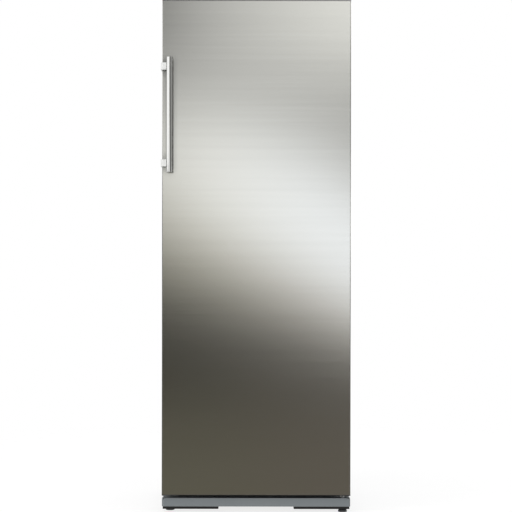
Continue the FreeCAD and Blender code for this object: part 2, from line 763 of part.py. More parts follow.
# covers that close the two pockets, the right one notched for the arm
cover_gap = 0.3
cover = block(pocket_x0 + cover_gap, pocket_x1 - cover_gap, front_y + cover_gap, pocket_back - cover_gap,
              top_floor, top_z)
cover_hollow = block(pocket_x0 + 1.9, pocket_x1 - 1.9, front_y + 1.4, pocket_back - 1.9,
                     top_floor - 1, top_floor + plate_thick + head_tall + 0.2)
cover = cover.cut(cover_hollow)
notch = block(hinge_x - arm_half - 0.5, hinge_x + arm_half + 0.5, front_y - 2, front_y + 4, top_floor - 1,
              top_floor + plate_thick + 0.3)
save("hinge_covers", [cover.cut(notch), mirror(cover)])

# lower hinge: a plate on the right carrier, a stepped pin, a split nylon washer on the step
washer_tall = 4.0
washer_top = door_z - gasket_clear
washer_low = washer_top - washer_tall
low_plate_top = low_plate_z + low_plate_thick
low_plate = slab("xy", half - 90, half - 4, carrier_front + 0.3, carrier_back - carrier_wall - 0.3,
                 low_plate_z, low_plate_top)
low_pin = rod(hinge_x, hinge_y, washer_low - 1, low_pin_r, door_z + 21 - washer_low)
collar = nut_shape(hinge_x, hinge_y, low_plate_top - 1, 10.0, washer_low - low_plate_top + 1, 12)
save("lower_hinge_bracket", low_plate.fuse(collar).fuse(low_pin))
washer_flat = 15.0
washer_split = 4.8
washer_sides = 20
washer = nut_shape(hinge_x, hinge_y, washer_low, washer_flat, washer_tall, washer_sides)
washer = washer.cut(nut_shape(hinge_x, hinge_y, washer_low - 1, 2 * low_pin_r + 0.04, 9, washer_sides))
washer = washer.cut(block(hinge_x - washer_split / 2, hinge_x + washer_split / 2, hinge_y - washer_flat,
                          hinge_y - 1, washer_low - 1, washer_top + 1))
save("hinge_washer", washer)
for x in (half - 76, half - 40):
    y = carrier_back - 30
    screws.append(nut_shape(x, y, low_plate_top, 2 * head_r, 3.0))

# plinth: a moulded trim, open at the back and underneath
plinth = slab("xy", -half, half, plinth_front, front_y - 0.2, plinth_z, plinth_top)
corners = [e for e in plinth.Edges if e.Length < plinth_top - plinth_z + 0.1 and e.BoundBox.ZLength > 20
           and e.BoundBox.YMax < plinth_front + 1]
plinth = plinth.makeFillet(7.0, corners)
plinth = plinth.cut(block(-half + plinth_wall, half - plinth_wall, plinth_front + plinth_wall, front_y + 1,
                          plinth_z - 1, plinth_top - plinth_wall))
plinth = plinth.cut(rod(hinge_x, hinge_y, plinth_z, 6.0, 40))
save("plinth", plinth)

# ---- controls behind the top of the door ----
fascia = slab("xz", -fascia_half, fascia_half, fascia_z, fascia_z + fascia_height, fascia_front, front_y)
knob_hole = rod(knob_x, fascia_front - 1, fascia_mid, knob_shaft_r + 0.06, 10, "y")
button_hole = slab("xz", button_x - button_half, button_x + button_half, fascia_mid - button_tall,
                   fascia_mid + button_tall, fascia_front - 1, front_y + 1, 2.0)
fascia = fascia.cut(knob_hole).cut(button_hole)
lenses = []
for x in lens_x:
    fascia = fascia.cut(nut_shape(x, fascia_front - 1, fascia_mid, 4.2, 10, 8, "y"))
    lenses.append(nut_shape(x, fascia_front - 0.4, fascia_mid, 4.0, fascia_thick + 0.4, 8, "y"))
save("control_fascia", fascia)
save("indicator_lenses", lenses)
knob_r = 8.5
knob_tall = 6.5
knob = nut_shape(knob_x, fascia_front - 0.3 - knob_tall, fascia_mid, 2 * knob_r, knob_tall, 24, "y")
rib_half = 1.6
rib_foot = fascia_front - 3.3
for x0, x1 in ((knob_x - knob_r - 1, knob_x - rib_half), (knob_x + rib_half, knob_x + knob_r + 1)):
    knob = knob.cut(block(x0, x1, fascia_front - 20, rib_foot, fascia_mid - knob_r - 1, fascia_mid + knob_r + 1))
knob = knob.fuse(rod(knob_x, fascia_front - 1, fascia_mid, knob_shaft_r, 12, "y"))
save("thermostat_knob", knob)
shaft_end = fascia_front + 11
body = block(knob_x - body_half, knob_x + body_half, front_y, front_y + body_deep,
             fascia_mid - body_tall / 2, fascia_mid + body_tall / 2)
body = body.cut(nut_shape(knob_x, front_y - 1, fascia_mid, 2 * knob_shaft_r + 1.0,
                          shaft_end - front_y + 1.5, 8, "y"))
save("thermostat_body", body)
cap_half = button_half - button_clear
cap_rise = button_tall - button_clear
button = slab("xz", button_x - cap_half, button_x + cap_half, fascia_mid - cap_rise, fascia_mid + cap_rise,
              fascia_front - button_proud, front_y + 4, 2.0 - button_clear)
save("freeze_button", button)

# ---- foam ----
foam = block(-inner_half, inner_half, front_y + sheet, back_panel_y, floor_z + sheet, top_panel_z)
foam = foam.cut(block(-half, half, niche_y - sheet, back_y, floor_z - 1, niche_z + sheet))
foam = foam.cut(outer.fuse(cavity)).cut(rail_top).cut(rail_low).cut(bottom_panel)
foam = foam.cut(control_pocket).cut(button_pocket).cut(side_left).cut(mirror(side_left))
for shape in screw_holes:
    foam = foam.cut(shape)
for shape in foam_ducts:
    foam = foam.cut(shape)
save("cabinet_foam", foam)
save("cabinet_screws", screws)

# ---- door ----
skin_back = door_back - door_liner_wall
skin = folded("xy", door_z + cap_lip, top_z - cap_lip, [
    (-half + skin_return, skin_back), (-half, skin_back), (-half, door_front), (half, door_front),
    (half, skin_back), (half - skin_return, skin_back)], skin_wall, skin_radius)
cap_floor = top_floor - 1.0
arm_room = prism("xy", cap_floor, top_z + 1, [
    (hinge_x - arm_half - 2.5, door_back + 5), (hinge_x - arm_half - 2.5, hinge_y - arm_half - 2),
    (hinge_x + 3, hinge_y - arm_half - 3), (half + 1, door_front + 2.2), (half + 1, door_back + 5)])
skin = skin.cut(block(half - skin_return - 1, half + 1, door_front + skin_radius, door_back,
                      cap_floor - 1, top_z))

cap_x = half - skin_wall
cap_y = door_front + skin_wall
foot_z = top_z - cap_height
top_cap = slab("xy", -half, half, door_front, door_back, top_z - cap_lip, top_z, [1.2, 1.2, 0.5, 0.5])
top_cap = top_cap.fuse(block(-cap_x + 1.5, cap_x - 1.5, cap_y + 0.1, skin_back - skin_wall,
                             foot_z, top_z - cap_lip))
top_cap = top_cap.cut(arm_room)
cap_hollow = block(-half + 46, half - 46, cap_y + cap_wall, skin_back - skin_wall - cap_wall, foot_z - 1,
                   top_z - cap_wall)
top_cap = top_cap.cut(cap_hollow)
bush_sides = 16
bush_flat = 2 * bush_r - 0.3
top_bore = nut_shape(hinge_x, hinge_y, foot_z - 1, bush_flat, 40, bush_sides)
top_cap = top_cap.cut(top_bore)
save("door_top_cap", top_cap)

low_cap = slab("xy", -half, half, door_front, door_back, door_z, door_z + cap_lip, [1.2, 1.2, 0.5, 0.5])
low_cap = low_cap.fuse(block(-cap_x + 1.5, cap_x - 1.5, cap_y + 0.1, skin_back - skin_wall, door_z + cap_lip,
                             door_z + cap_height))
low_hollow = block(-half + 46, half - 46, cap_y + cap_wall, skin_back - skin_wall - cap_wall, door_z + cap_wall,
                   door_z + cap_height + 1)
low_cap = low_cap.cut(low_hollow)
low_bore = nut_shape(hinge_x, hinge_y, door_z - 1, bush_flat, 40, bush_sides)
low_cap = low_cap.cut(low_bore)
save("door_bottom_cap", low_cap)

bush_top = nut_shape(hinge_x, hinge_y, top_pin_low - 2, bush_flat, cap_floor - top_pin_low + 2, bush_sides)
bush_top = bush_top.cut(rod(hinge_x, hinge_y, top_pin_low - 3, top_pin_r + pin_clear, 40))
bush_low = nut_shape(hinge_x, hinge_y, door_z, bush_flat, 22, bush_sides)
bush_low = bush_low.cut(rod(hinge_x, hinge_y, door_z - 1, low_pin_r + pin_clear, 40))
save("door_bushes", [bush_top, bush_low])

# door liner: a flat flange and a drafted pad that stands into the cabinet
pad_low = cavity_z + pad_ends
pad_high = cavity_top - pad_ends


def pad(inset, height, base):
    rims = []
    for y, draft in ((base, 0.0), (base + height, pad_height)):
        u = pad_half - draft - inset
        lo = pad_low + draft + inset
        hi = pad_high - draft - inset
        r = pad_radius - draft - inset
        rims.append(outline("xz", y, [(-u, lo), (u, lo), (u, hi), (-u, hi)], r))
    return Part.makeLoft(rims, True, True)


flange_z0 = door_z + cap_lip + 2
flange_z1 = cap_floor - 1
door_liner = slab("xz", -half + 2, half - 2, flange_z0, flange_z1, skin_back, door_back)
door_liner = door_liner.fuse(pad(0.0, pad_height, door_back))
pad_hollow = pad(door_liner_wall, pad_height, skin_back)
door_liner = door_liner.cut(pad_hollow)
save("door_liner", door_liner)

bevel = skin_radius - skin_wall
foam_edge = half - skin_return - 0.1
foam_back = skin_back - skin_wall
foam_plan = [(cap_x - bevel, cap_y), (cap_x, cap_y + bevel), (cap_x, foam_back - bevel),
             (cap_x - bevel, foam_back), (foam_edge, foam_back), (foam_edge, skin_back)]
foam_plan += [(-x, y) for x, y in foam_plan[::-1]]
door_foam = prism("xy", door_z + cap_height, foot_z, foam_plan)
bush_room = bush_r + 1.0
door_foam = door_foam.cut(block(hinge_x - bush_room, hinge_x + bush_room, hinge_y - bush_room,
                                hinge_y + bush_room, top_pin_low - 3, top_z))
door_foam = door_foam.cut(block(hinge_x - bush_room, hinge_x + bush_room, hinge_y - bush_room,
                                hinge_y + bush_room, door_z, door_z + 23))
door_foam = door_foam.fuse(pad_hollow)

# magnetic gasket: a ring of one moulded profile, glued flat on the liner's flange
seal_outer = hinge_x - 5
seal_low = cavity_z - gasket_overlap
seal_high = cavity_top + gasket_overlap
seal_front = front_y - gasket_clear


def seal_ring(inset, wide, y0, y1):
    u = seal_outer - inset
    lo = seal_low + inset
    hi = seal_high - inset
    ring = slab("xz", -u, u, lo, hi, y0, y1)
    return ring.cut(slab("xz", -u + wide, u - wide, lo + wide, hi - wide, y0 - 1, y1 + 1))


gasket = seal_ring(0, gasket_width, door_back, door_back + 2.4)
gasket = gasket.fuse(seal_ring(5, 9, door_back + 2.4, seal_front - 5.6))
gasket = gasket.fuse(seal_ring(2, 15, seal_front - 5.6, seal_front))
gasket = gasket.cut(seal_ring(4, 11, seal_front - 4.6, seal_front - 1.0))
save("door_gasket", gasket)

# ---- handle ----
bar_y = door_front - bar_reach + bar_r
bar = turned([(0, bar_low), (bar_r - 1, bar_low), (bar_r, bar_low + 1), (bar_r, bar_high - 1),
              (bar_r - 1, bar_high), (0, bar_high)], bar_x, bar_y)
brackets = []
handle_screws = []
side_x = -half
plate_x = side_x - bracket_out
plate_y = door_front + bracket_back
saddle_half = 5.0               # half the height of the arm's end on the bar, seen from above
for z in bracket_levels:
    z0 = z - bracket_tall / 2
    z1 = z + bracket_tall / 2
    plan = [(side_x, plate_y), (side_x, door_front - 12), (bar_x, bar_y + saddle_half + 0.5),
            (bar_x, bar_y - saddle_half + 0.5), (side_x + 2, bar_y - saddle_half + 0.5),
            (plate_x, bar_y + 2), (plate_x, plate_y)]
    arm = prism("xy", z0, z1, plan, [0, 5.0, 0, 0, 4.0, 6.0, 1.2])
    arm = arm.cut(bar)
    for y in (door_front + 14, door_front + 32):
        head = nut_shape(plate_x + 0.3, y, z, 8.0, 1.5, 12, "x")
        shank = nut_shape(plate_x + 1.8, y, z, 4.4, 12.0, 8, "x")
        socket = nut_shape(plate_x, y, z, 3.4, 1.2, 6, "x")
        sink = nut_shape(plate_x - 1, y, z, 8.0, 2.8, 12, "x")
        screw = head.fuse(shank).cut(socket)
        arm = arm.cut(sink).cut(shank)
        skin = skin.cut(shank)
        door_foam = door_foam.cut(shank)
        handle_screws.append(screw)
    brackets.append(arm)
save("door_skin", skin)
save("door_foam", max(door_foam.Solids, key=lambda s: s.Volume))
save("handle_bar", bar)
save("handle_brackets", brackets)
save("handle_screws", handle_screws)

# ---- drawers ----
drawer_count = bay_count - 2
vent_half = 20.0
vent_low = 34.0                 # below the tub's rim
vent_tall = 10.0
grip_half = 120.0
grip_wall = 4.0
tub_front = drawer_front + grip_reach
tub_back_full = ledge_back - 6
for i in range(drawer_count):
    base = cavity_z + bay_pitch * i + run_gap + ridge_tall
    back = tub_back_full if i else hump_y - 6
    tub = slab("xy", -drawer_half, drawer_half, tub_front, back, base, base + tub_height, tub_radius)
    tub = tub.cut(slab("xy", -drawer_half + tub_wall, drawer_half - tub_wall, tub_front + tub_wall,
                       back - tub_wall, base + tub_wall, base + tub_height + 1, tub_radius - tub_wall))
    vents = []
    vent_step = (back - tub_front - 90) / 3
    for k in range(4):
        y = tub_front + 45 + vent_step * k
        rim = base + tub_height
        low = rim - vent_low
        vents.append(block(-half, half, y - vent_half, y + vent_half, low, low + vent_tall))
    for vent in vents:
        tub = tub.cut(vent)
    save("drawer_tub_%d" % (i + 1), tub)
    low = base - (7.0 if i else 2.0)
    high = cavity_z + bay_pitch * (i + 1) - front_gap
    face = tub_front - front_thick
    panel = slab("xz", -drawer_half, drawer_half, low, high, face, tub_front)
    lip_z = high - 14
    grip = prism("yz", -grip_half, grip_half, [
        (face, lip_z + grip_wall), (drawer_front + grip_wall, lip_z + grip_wall),
        (drawer_front + grip_wall, lip_z - 14), (drawer_front, lip_z - 14),
        (drawer_front, lip_z + 2 * grip_wall), (face, lip_z + 3 * grip_wall)], [0, 3, 0, 0, 5, 0])
    panel = panel.fuse(grip)
    save("drawer_front_%d" % (i + 1), panel)

# ---- flaps of the two top compartments ----
flap_front = drawer_front + 10
flap_axis_y = flap_front + 9
flap_floor_gap = 9.0
flap_axis_drop = 30.0           # below the compartment's ceiling
ear_wall = 8.0
ear_half = 5.0
hinge_blocks = []
for i in range(2):
    level = cavity_z + bay_pitch * (drawer_count + i)
    low = level + flap_floor_gap
    axis_z = level + bay_pitch - flap_axis_drop
    panel = slab("xz", -drawer_half, drawer_half, low, axis_z + 8, flap_front, flap_front + flap_thick)
    lift = prism("yz", -grip_half, grip_half, [
        (flap_front, low + 3), (flap_front - 7, low), (flap_front - 7, low + 3), (flap_front, low + 6.5)])
    panel = panel.fuse(lift)
    for side in (-1, 1):
        x0 = min(side * drawer_half, side * (drawer_half - ear_wall))
        ear = block(x0, x0 + ear_wall, flap_front + flap_thick, flap_axis_y + 4,
                    axis_z - ear_half, axis_z + ear_half)
        pin_x = drawer_half if side > 0 else -drawer_half - flap_pin_long
        pin = rod(pin_x, flap_axis_y, axis_z, flap_pin_r, flap_pin_long, "x")
        panel = panel.fuse(ear).fuse(pin)
        inner = side * (drawer_half + flap_side_gap)
        seat = side * cavity_half
        x0 = min(inner, seat)
        x1 = max(inner, seat)
        holder = slab("yz", flap_axis_y - 8, flap_axis_y + 14, axis_z - 8, axis_z + 8, x0, x1)
        holder = holder.cut(rod(x0 - 1, flap_axis_y, axis_z, flap_pin_r + flap_pin_clear, x1 - x0 + 2, "x"))
        hinge_blocks.append(holder)
    save("flap_%d" % (i + 1), panel)
save("flap_hinge_blocks", hinge_blocks)
print("parts written")
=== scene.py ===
import json
import math
import bpy
import numpy as np
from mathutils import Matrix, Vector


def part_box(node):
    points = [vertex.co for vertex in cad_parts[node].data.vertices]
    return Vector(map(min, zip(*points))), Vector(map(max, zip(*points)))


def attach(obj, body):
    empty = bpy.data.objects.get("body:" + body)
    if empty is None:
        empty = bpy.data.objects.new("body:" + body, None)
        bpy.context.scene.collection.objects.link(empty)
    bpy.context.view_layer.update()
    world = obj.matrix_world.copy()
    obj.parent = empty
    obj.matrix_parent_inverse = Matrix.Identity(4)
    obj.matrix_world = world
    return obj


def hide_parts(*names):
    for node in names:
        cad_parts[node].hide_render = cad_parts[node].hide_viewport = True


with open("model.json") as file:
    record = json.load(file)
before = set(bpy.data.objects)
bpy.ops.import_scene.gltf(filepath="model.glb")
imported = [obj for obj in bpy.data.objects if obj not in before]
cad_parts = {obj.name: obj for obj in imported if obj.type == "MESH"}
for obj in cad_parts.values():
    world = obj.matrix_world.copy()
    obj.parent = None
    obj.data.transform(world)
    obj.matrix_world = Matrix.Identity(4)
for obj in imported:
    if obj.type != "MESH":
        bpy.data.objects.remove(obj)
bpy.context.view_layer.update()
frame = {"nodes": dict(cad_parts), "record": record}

# Upright freezer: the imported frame, dressed. Metres, x right, y to the back, z up.

camera = {
    "doorFront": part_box("door_skin")[0][1],
    "distance": 6.0,        # in front of the door
    "height": 0.8164,
    "side": -0.0013,
    "lens": 132.8,
    "sensor": 36.0,
    "roll": -0.09,          # degrees, the photograph leans a little
    "reach": 60.0,          # nothing further off is drawn
}


def linear(hexText):
    # sRGB hex to linear RGBA: c/12.92 below 0.04045, else ((c + 0.055)/1.055)^2.4
    parts = [int(hexText[i:i + 2], 16) / 255 for i in (1, 3, 5)]
    return [c / 12.92 if c <= 0.04045 else ((c + 0.055) / 1.055) ** 2.4 for c in parts] + [1.0]


def nodeBox(node):
    # lowest and highest corner of a CAD node at rest
    return np.array(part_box(node))


def addNode(tree, kind, inputs=None, **settings):
    # one shader node with its settings; an input is a value, a hex colour or another node's socket
    made = tree.nodes.new("ShaderNode" + kind)
    for name, value in settings.items():
        setattr(made, name, value)
    for socket, value in (inputs or {}).items():
        if isinstance(value, bpy.types.NodeSocket):
            tree.links.new(value, made.inputs[socket])
        else:
            made.inputs[socket].default_value = linear(value) if isinstance(value, str) else value
    return made


def bareMaterial(name):
    # a material whose node tree is empty
    material = bpy.data.materials.new(name)
    material.use_nodes = True
    material.node_tree.nodes.clear()
    return material, material.node_tree


def startMaterial(name):
    # a Principled shader wired to the output, and Object coordinates for its patterns
    material, tree = bareMaterial(name)
    shader = addNode(tree, "BsdfPrincipled")
    addNode(tree, "OutputMaterial", {"Surface": shader.outputs["BSDF"]})
    place = addNode(tree, "TexCoord").outputs["Object"]
    return material, tree, shader, place


def setValues(shader, **values):
    # constants, straight on the shader's own sockets
    for name, value in values.items():
        shader.inputs[name.replace("_", " ")].default_value = value


def brushedStainless():
    # ferritic stainless door sheet, belt ground along its width: long soft reflections and a fine lying
    # grain. The real grain is about 0.1 mm high; it is drawn 2.4 mm high, because a finer one doesn't show
    material, tree, shader, place = startMaterial("brushedStainless")
    long = addNode(tree, "Mapping", {0: place, "Scale": (2.2, 2.2, 420.0)})
    grain = addNode(tree, "TexNoise", {0: long.outputs[0], "Scale": 1.0, "Detail": 6.0, "Roughness": 0.6})
    wide = addNode(tree, "Mapping", {0: place, "Scale": (1.2, 1.2, 60.0)})
    streak = addNode(tree, "TexNoise", {0: wide.outputs[0], "Scale": 1.0, "Detail": 3.0})
    both = addNode(tree, "Math", {0: grain.outputs[0], 1: streak.outputs[0]}, operation="MULTIPLY")
    tone = addNode(tree, "MapRange", {0: both.outputs[0], 1: 0.1, 2: 0.42})
    colour = addNode(tree, "Mix", {0: tone.outputs[0], 6: "#c2c1bd", 7: "#c6c5c1"}, data_type="RGBA")
    # painted shade: within 34 mm of the handle and its brackets the base colour is turned towards grey
    # #9c9c99
    nearby = addNode(tree, "AmbientOcclusion", {"Distance": 0.034}, samples=16)     # the handle's shade
    shade = addNode(tree, "MapRange", {0: nearby.outputs["AO"], 1: 0.72, 2: 0.97})
    shaded = addNode(tree, "Mix", {0: shade.outputs[0], 6: "#9c9c99", 7: colour.outputs[2]},
                     data_type="RGBA")
    tree.links.new(shaded.outputs[2], shader.inputs["Base Color"])
    rough = addNode(tree, "MapRange", {0: grain.outputs[0], 1: 0.3, 2: 0.7, 3: 0.135, 4: 0.15})
    tree.links.new(rough.outputs[0], shader.inputs["Roughness"])
    bump = addNode(tree, "Bump", {"Strength": 0.003, "Distance": 0.0002, "Height": grain.outputs[0]})
    tree.links.new(bump.outputs[0], shader.inputs["Normal"])
    setValues(shader, Metallic=1.0)
    return material


def polishedChrome():
    # polished plated steel of the handle: mirror bright with the faintest polishing haze, in patches
    # of about 17 mm
    material, tree, shader, place = startMaterial("polishedChrome")
    noise = addNode(tree, "TexNoise", {0: place, "Scale": 60.0, "Detail": 3.0})
    rough = addNode(tree, "MapRange", {0: noise.outputs[0], 3: 0.05, 4: 0.09})
    tree.links.new(rough.outputs[0], shader.inputs["Roughness"])
    colour = addNode(tree, "Mix", {0: noise.outputs[0], 6: "#dededc", 7: "#e6e6e4"}, data_type="RGBA")
    tree.links.new(colour.outputs[2], shader.inputs["Base Color"])
    setValues(shader, Metallic=1.0)
    return material


def mouldedPlastic(name, low, high, roughness, textureSize, relief):
    # injection moulded part: a spark-eroded mould leaves an even fine grain, of textureSize metres
    material, tree, shader, place = startMaterial(name)
    cloud = addNode(tree, "TexNoise", {0: place, "Scale": 7.0, "Detail": 4.0})
    colour = addNode(tree, "Mix", {0: cloud.outputs[0], 6: low, 7: high}, data_type="RGBA")
    tree.links.new(colour.outputs[2], shader.inputs["Base Color"])
    grain = addNode(tree, "TexNoise", {0: place, "Scale": 1 / textureSize, "Detail": 3.0})
    rough = addNode(tree, "MapRange", {0: grain.outputs[0], 3: roughness - 0.05, 4: roughness + 0.07})
    tree.links.new(rough.outputs[0], shader.inputs["Roughness"])
    bump = addNode(tree, "Bump", {"Strength": relief, "Distance": 0.0003, "Height": grain.outputs[0]})
    tree.links.new(bump.outputs[0], shader.inputs["Normal"])
    return material


def sprayedEnamel(name, low, high, roughness):
    # stoved lacquer on steel: a slight orange peel of about 2 mm under a satin film
    material, tree, shader, place = startMaterial(name)
    cloud = addNode(tree, "TexNoise", {0: place, "Scale": 3.0, "Detail": 3.0})
    colour = addNode(tree, "Mix", {0: cloud.outputs[0], 6: low, 7: high}, data_type="RGBA")
    tree.links.new(colour.outputs[2], shader.inputs["Base Color"])
    peel = addNode(tree, "TexNoise", {0: place, "Scale": 480.0, "Detail": 2.0})
    rough = addNode(tree, "MapRange", {0: peel.outputs[0], 3: roughness - 0.04, 4: roughness + 0.05})
    tree.links.new(rough.outputs[0], shader.inputs["Roughness"])
    bump = addNode(tree, "Bump", {"Strength": 0.10, "Distance": 0.0002, "Height": peel.outputs[0]})
    tree.links.new(bump.outputs[0], shader.inputs["Normal"])
    setValues(shader, Coat_Weight=0.25, Coat_Roughness=0.2)
    return material


def metalFinish(name, low, high, roughness, patchSize):
    # bare or plated metal: patches of slightly different tone, such as zinc flowers or handling marks,
    # patchSize metres wide
    material, tree, shader, place = startMaterial(name)
    patch = addNode(tree, "TexVoronoi", {0: place, "Scale": 1 / patchSize})
    colour = addNode(tree, "Mix", {0: patch.outputs[1], 6: low, 7: high}, data_type="RGBA")
    tree.links.new(colour.outputs[2], shader.inputs["Base Color"])
    fine = addNode(tree, "TexNoise", {0: place, "Scale": 900.0, "Detail": 2.0})
    rough = addNode(tree, "MapRange", {0: fine.outputs[0], 3: roughness - 0.06, 4: roughness + 0.08})
    tree.links.new(rough.outputs[0], shader.inputs["Roughness"])
    setValues(shader, Metallic=1.0)
    return material


def rigidFoam():
    # polyurethane foamed in place: open cream coloured cells where it was cut, drawn 1.1 mm wide,
    # which is coarser than the real ones, so that they show
    material, tree, shader, place = startMaterial("rigidFoam")
    cells = addNode(tree, "TexVoronoi", {0: place, "Scale": 900.0})
    colour = addNode(tree, "Mix", {0: cells.outputs[0], 6: "#cdb67a", 7: "#eadcae"}, data_type="RGBA")
    tree.links.new(colour.outputs[2], shader.inputs["Base Color"])
    bump = addNode(tree, "Bump", {"Strength": 0.4, "Distance": 0.0006, "Height": cells.outputs[0]})
    tree.links.new(bump.outputs[0], shader.inputs["Normal"])
    setValues(shader, Roughness=0.9)
    return material


def clearStyrene():
    # moulded crystal polystyrene with a faint blue: clear walls, frosted by the frost they live in
    material, tree, shader, place = startMaterial("clearStyrene")
    frost = addNode(tree, "TexNoise", {0: place, "Scale": 9.0, "Detail": 4.0})
    rough = addNode(tree, "MapRange", {0: frost.outputs[0], 1: 0.3, 2: 0.7, 3: 0.22, 4: 0.26})
    tree.links.new(rough.outputs[0], shader.inputs["Roughness"])
    colour = addNode(tree, "Mix", {0: frost.outputs[0], 6: "#e7eff3", 7: "#e8f0f4"}, data_type="RGBA")
    tree.links.new(colour.outputs[2], shader.inputs["Base Color"])
    setValues(shader, Transmission_Weight=0.82, IOR=1.59)
    return material


def tintedLens():
    # small light guide of tinted acrylic: clear green with a faint cloud of about 3 mm
    material, tree, shader, place = startMaterial("tintedLens")
    noise = addNode(tree, "TexNoise", {0: place, "Scale": 300.0})
    colour = addNode(tree, "Mix", {0: noise.outputs[0], 6: "#3f9c46", 7: "#58b75c"}, data_type="RGBA")
    tree.links.new(colour.outputs[2], shader.inputs["Base Color"])
    setValues(shader, Roughness=0.15, Transmission_Weight=0.3, IOR=1.49)
    return material


finishes = {
    "stainless": brushedStainless(),
    "chrome": polishedChrome(),
    "grey_paint": sprayedEnamel("silverLacquer", "#a9abab", "#b2b4b4", 0.36),
    "black_steel": sprayedEnamel("blackEnamel", "#141415", "#1c1c1e", 0.38),
    "white_coated_steel": sprayedEnamel("whiteEpoxy", "#e4e7e8", "#eff1f1", 0.34),
    "zinc_steel": metalFinish("galvanisedZinc", "#9a9da0", "#b9bcbe", 0.42, 0.012),
    "bright_steel": metalFinish("zincPlatedScrew", "#b4b3ae", "#cfcecb", 0.28, 0.006),
    "copper": metalFinish("copperPipe", "#b0694a", "#c98263", 0.30, 0.02),
    "white_plastic": mouldedPlastic("whiteAbs", "#e6e9ea", "#f1f3f3", 0.34, 0.0016, 0.05),
    "dark_plastic": mouldedPlastic("darkAbs", "#3a3b3c", "#444546", 0.48, 0.0009, 0.12),
    "plinth_plastic": mouldedPlastic("greyPlinthAbs", "#7a8083", "#82878a", 0.42, 0.0012, 0.08),
    "button_plastic": mouldedPlastic("yellowAbs", "#d7a41f", "#e2b23a", 0.35, 0.0012, 0.05),
    "nylon": mouldedPlastic("naturalNylon", "#eeeae0", "#f7f5ee", 0.38, 0.0008, 0.05),
    "rubber": mouldedPlastic("blackRubber", "#0c0c0c", "#131313", 0.75, 0.0010, 0.15),
    "seal_rubber": mouldedPlastic("greyVinylSeal", "#8f9394", "#9da1a2", 0.52, 0.0010, 0.08),
    "insulating_foam": rigidFoam(),
    "clear_plastic": clearStyrene(),
    "lens": tintedLens(),
}


# painted shade for the gap under the door: its near-black colour, how high it reaches on the rails and
# panel and on the door's bottom cap, and how ragged its edge is
paintedShadeBand = {"colour": "#0b0b0b", "height": 0.058, "capHeight": 0.0575, "ragged": 0.001}


def withPaintedShadeBelow(name, source, reach):
    # the same finish with painted shade: its base colour is turned near black below a height from the
    # floor, with a ragged edge
    material = source.copy()
    material.name = name
    tree = material.node_tree
    shader = next(n for n in tree.nodes if n.type == "BSDF_PRINCIPLED")
    place = addNode(tree, "TexCoord").outputs["Object"]
    height = addNode(tree, "SeparateXYZ", {0: place}).outputs[2]
    ragged = addNode(tree, "TexNoise", {0: place, "Scale": 60.0}).outputs[0]
    level = addNode(tree, "Math", {0: ragged, 1: paintedShadeBand["ragged"], 2: height}, operation="MULTIPLY_ADD")
    bare = addNode(tree, "MapRange", {0: level.outputs[0], 1: reach, 2: reach + paintedShadeBand["ragged"]})
    plain = shader.inputs["Base Color"].links[0].from_socket
    mixed = addNode(tree, "Mix", {0: bare.outputs[0], 6: paintedShadeBand["colour"], 7: plain}, data_type="RGBA")
    tree.links.new(mixed.outputs[2], shader.inputs["Base Color"])
    return material


brownCap = mouldedPlastic("brownCapAbs", "#605d59", "#686561", 0.5, 0.0012, 0.06)
ownFinish = {       # nodes that differ from the finish of their slot
    "handle_brackets": sprayedEnamel("brightSilverLacquer", "#eeefed", "#f4f4f2", 0.30),
    # painted shade: the lowest strip of the front rails, bottom panel and door's bottom cap is turned near
    # black
    "front_rails": withPaintedShadeBelow("silverLacquerPaintedShade", finishes["grey_paint"], paintedShadeBand["height"]),
    "bottom_panel": withPaintedShadeBelow("galvanisedZincPaintedShade", finishes["zinc_steel"], paintedShadeBand["height"]),
    "door_top_cap": mouldedPlastic("greyCapAbs", "#4c4d4c", "#555655", 0.45, 0.0012, 0.06),
    "door_bottom_cap": withPaintedShadeBelow("brownCapAbsPaintedShade", brownCap, paintedShadeBand["capHeight"]),
}
slotOf = {entry["node"]: entry["material_slot"] for entry in frame["record"]["subparts"]}
for name, thing in frame["nodes"].items():
    for spot in thing.material_slots:
        spot.material = ownFinish.get(name, finishes[slotOf[name]])
print("materials set on", len(frame["nodes"]), "nodes")


def gridMesh(name, xs, ys, zs, material, smooth=True):
    # rows x columns of points joined into quads, faces pointing along row x column
    rows, cols = xs.shape
    points = np.stack([xs, ys, zs], axis=-1).reshape(-1, 3)
    first = (np.arange(rows - 1)[:, None] * cols + np.arange(cols - 1)[None, :]).ravel()
    quads = np.stack([first, first + 1, first + cols + 1, first + cols], axis=-1)
    mesh = bpy.data.meshes.new(name)
    mesh.from_pydata(points.tolist(), [], quads.tolist())
    mesh.polygons.foreach_set("use_smooth", np.full(len(quads), smooth))
    mesh.materials.append(material)
    thing = bpy.data.objects.new(name, mesh)
    bpy.context.collection.objects.link(thing)
    return thing


disc = {"radius": 3.0, "level": -0.0004, "fadeFrom": 1.3, "fadeTo": 2.9, "glow": 0.8,
        "rings": 25, "turns": 97}


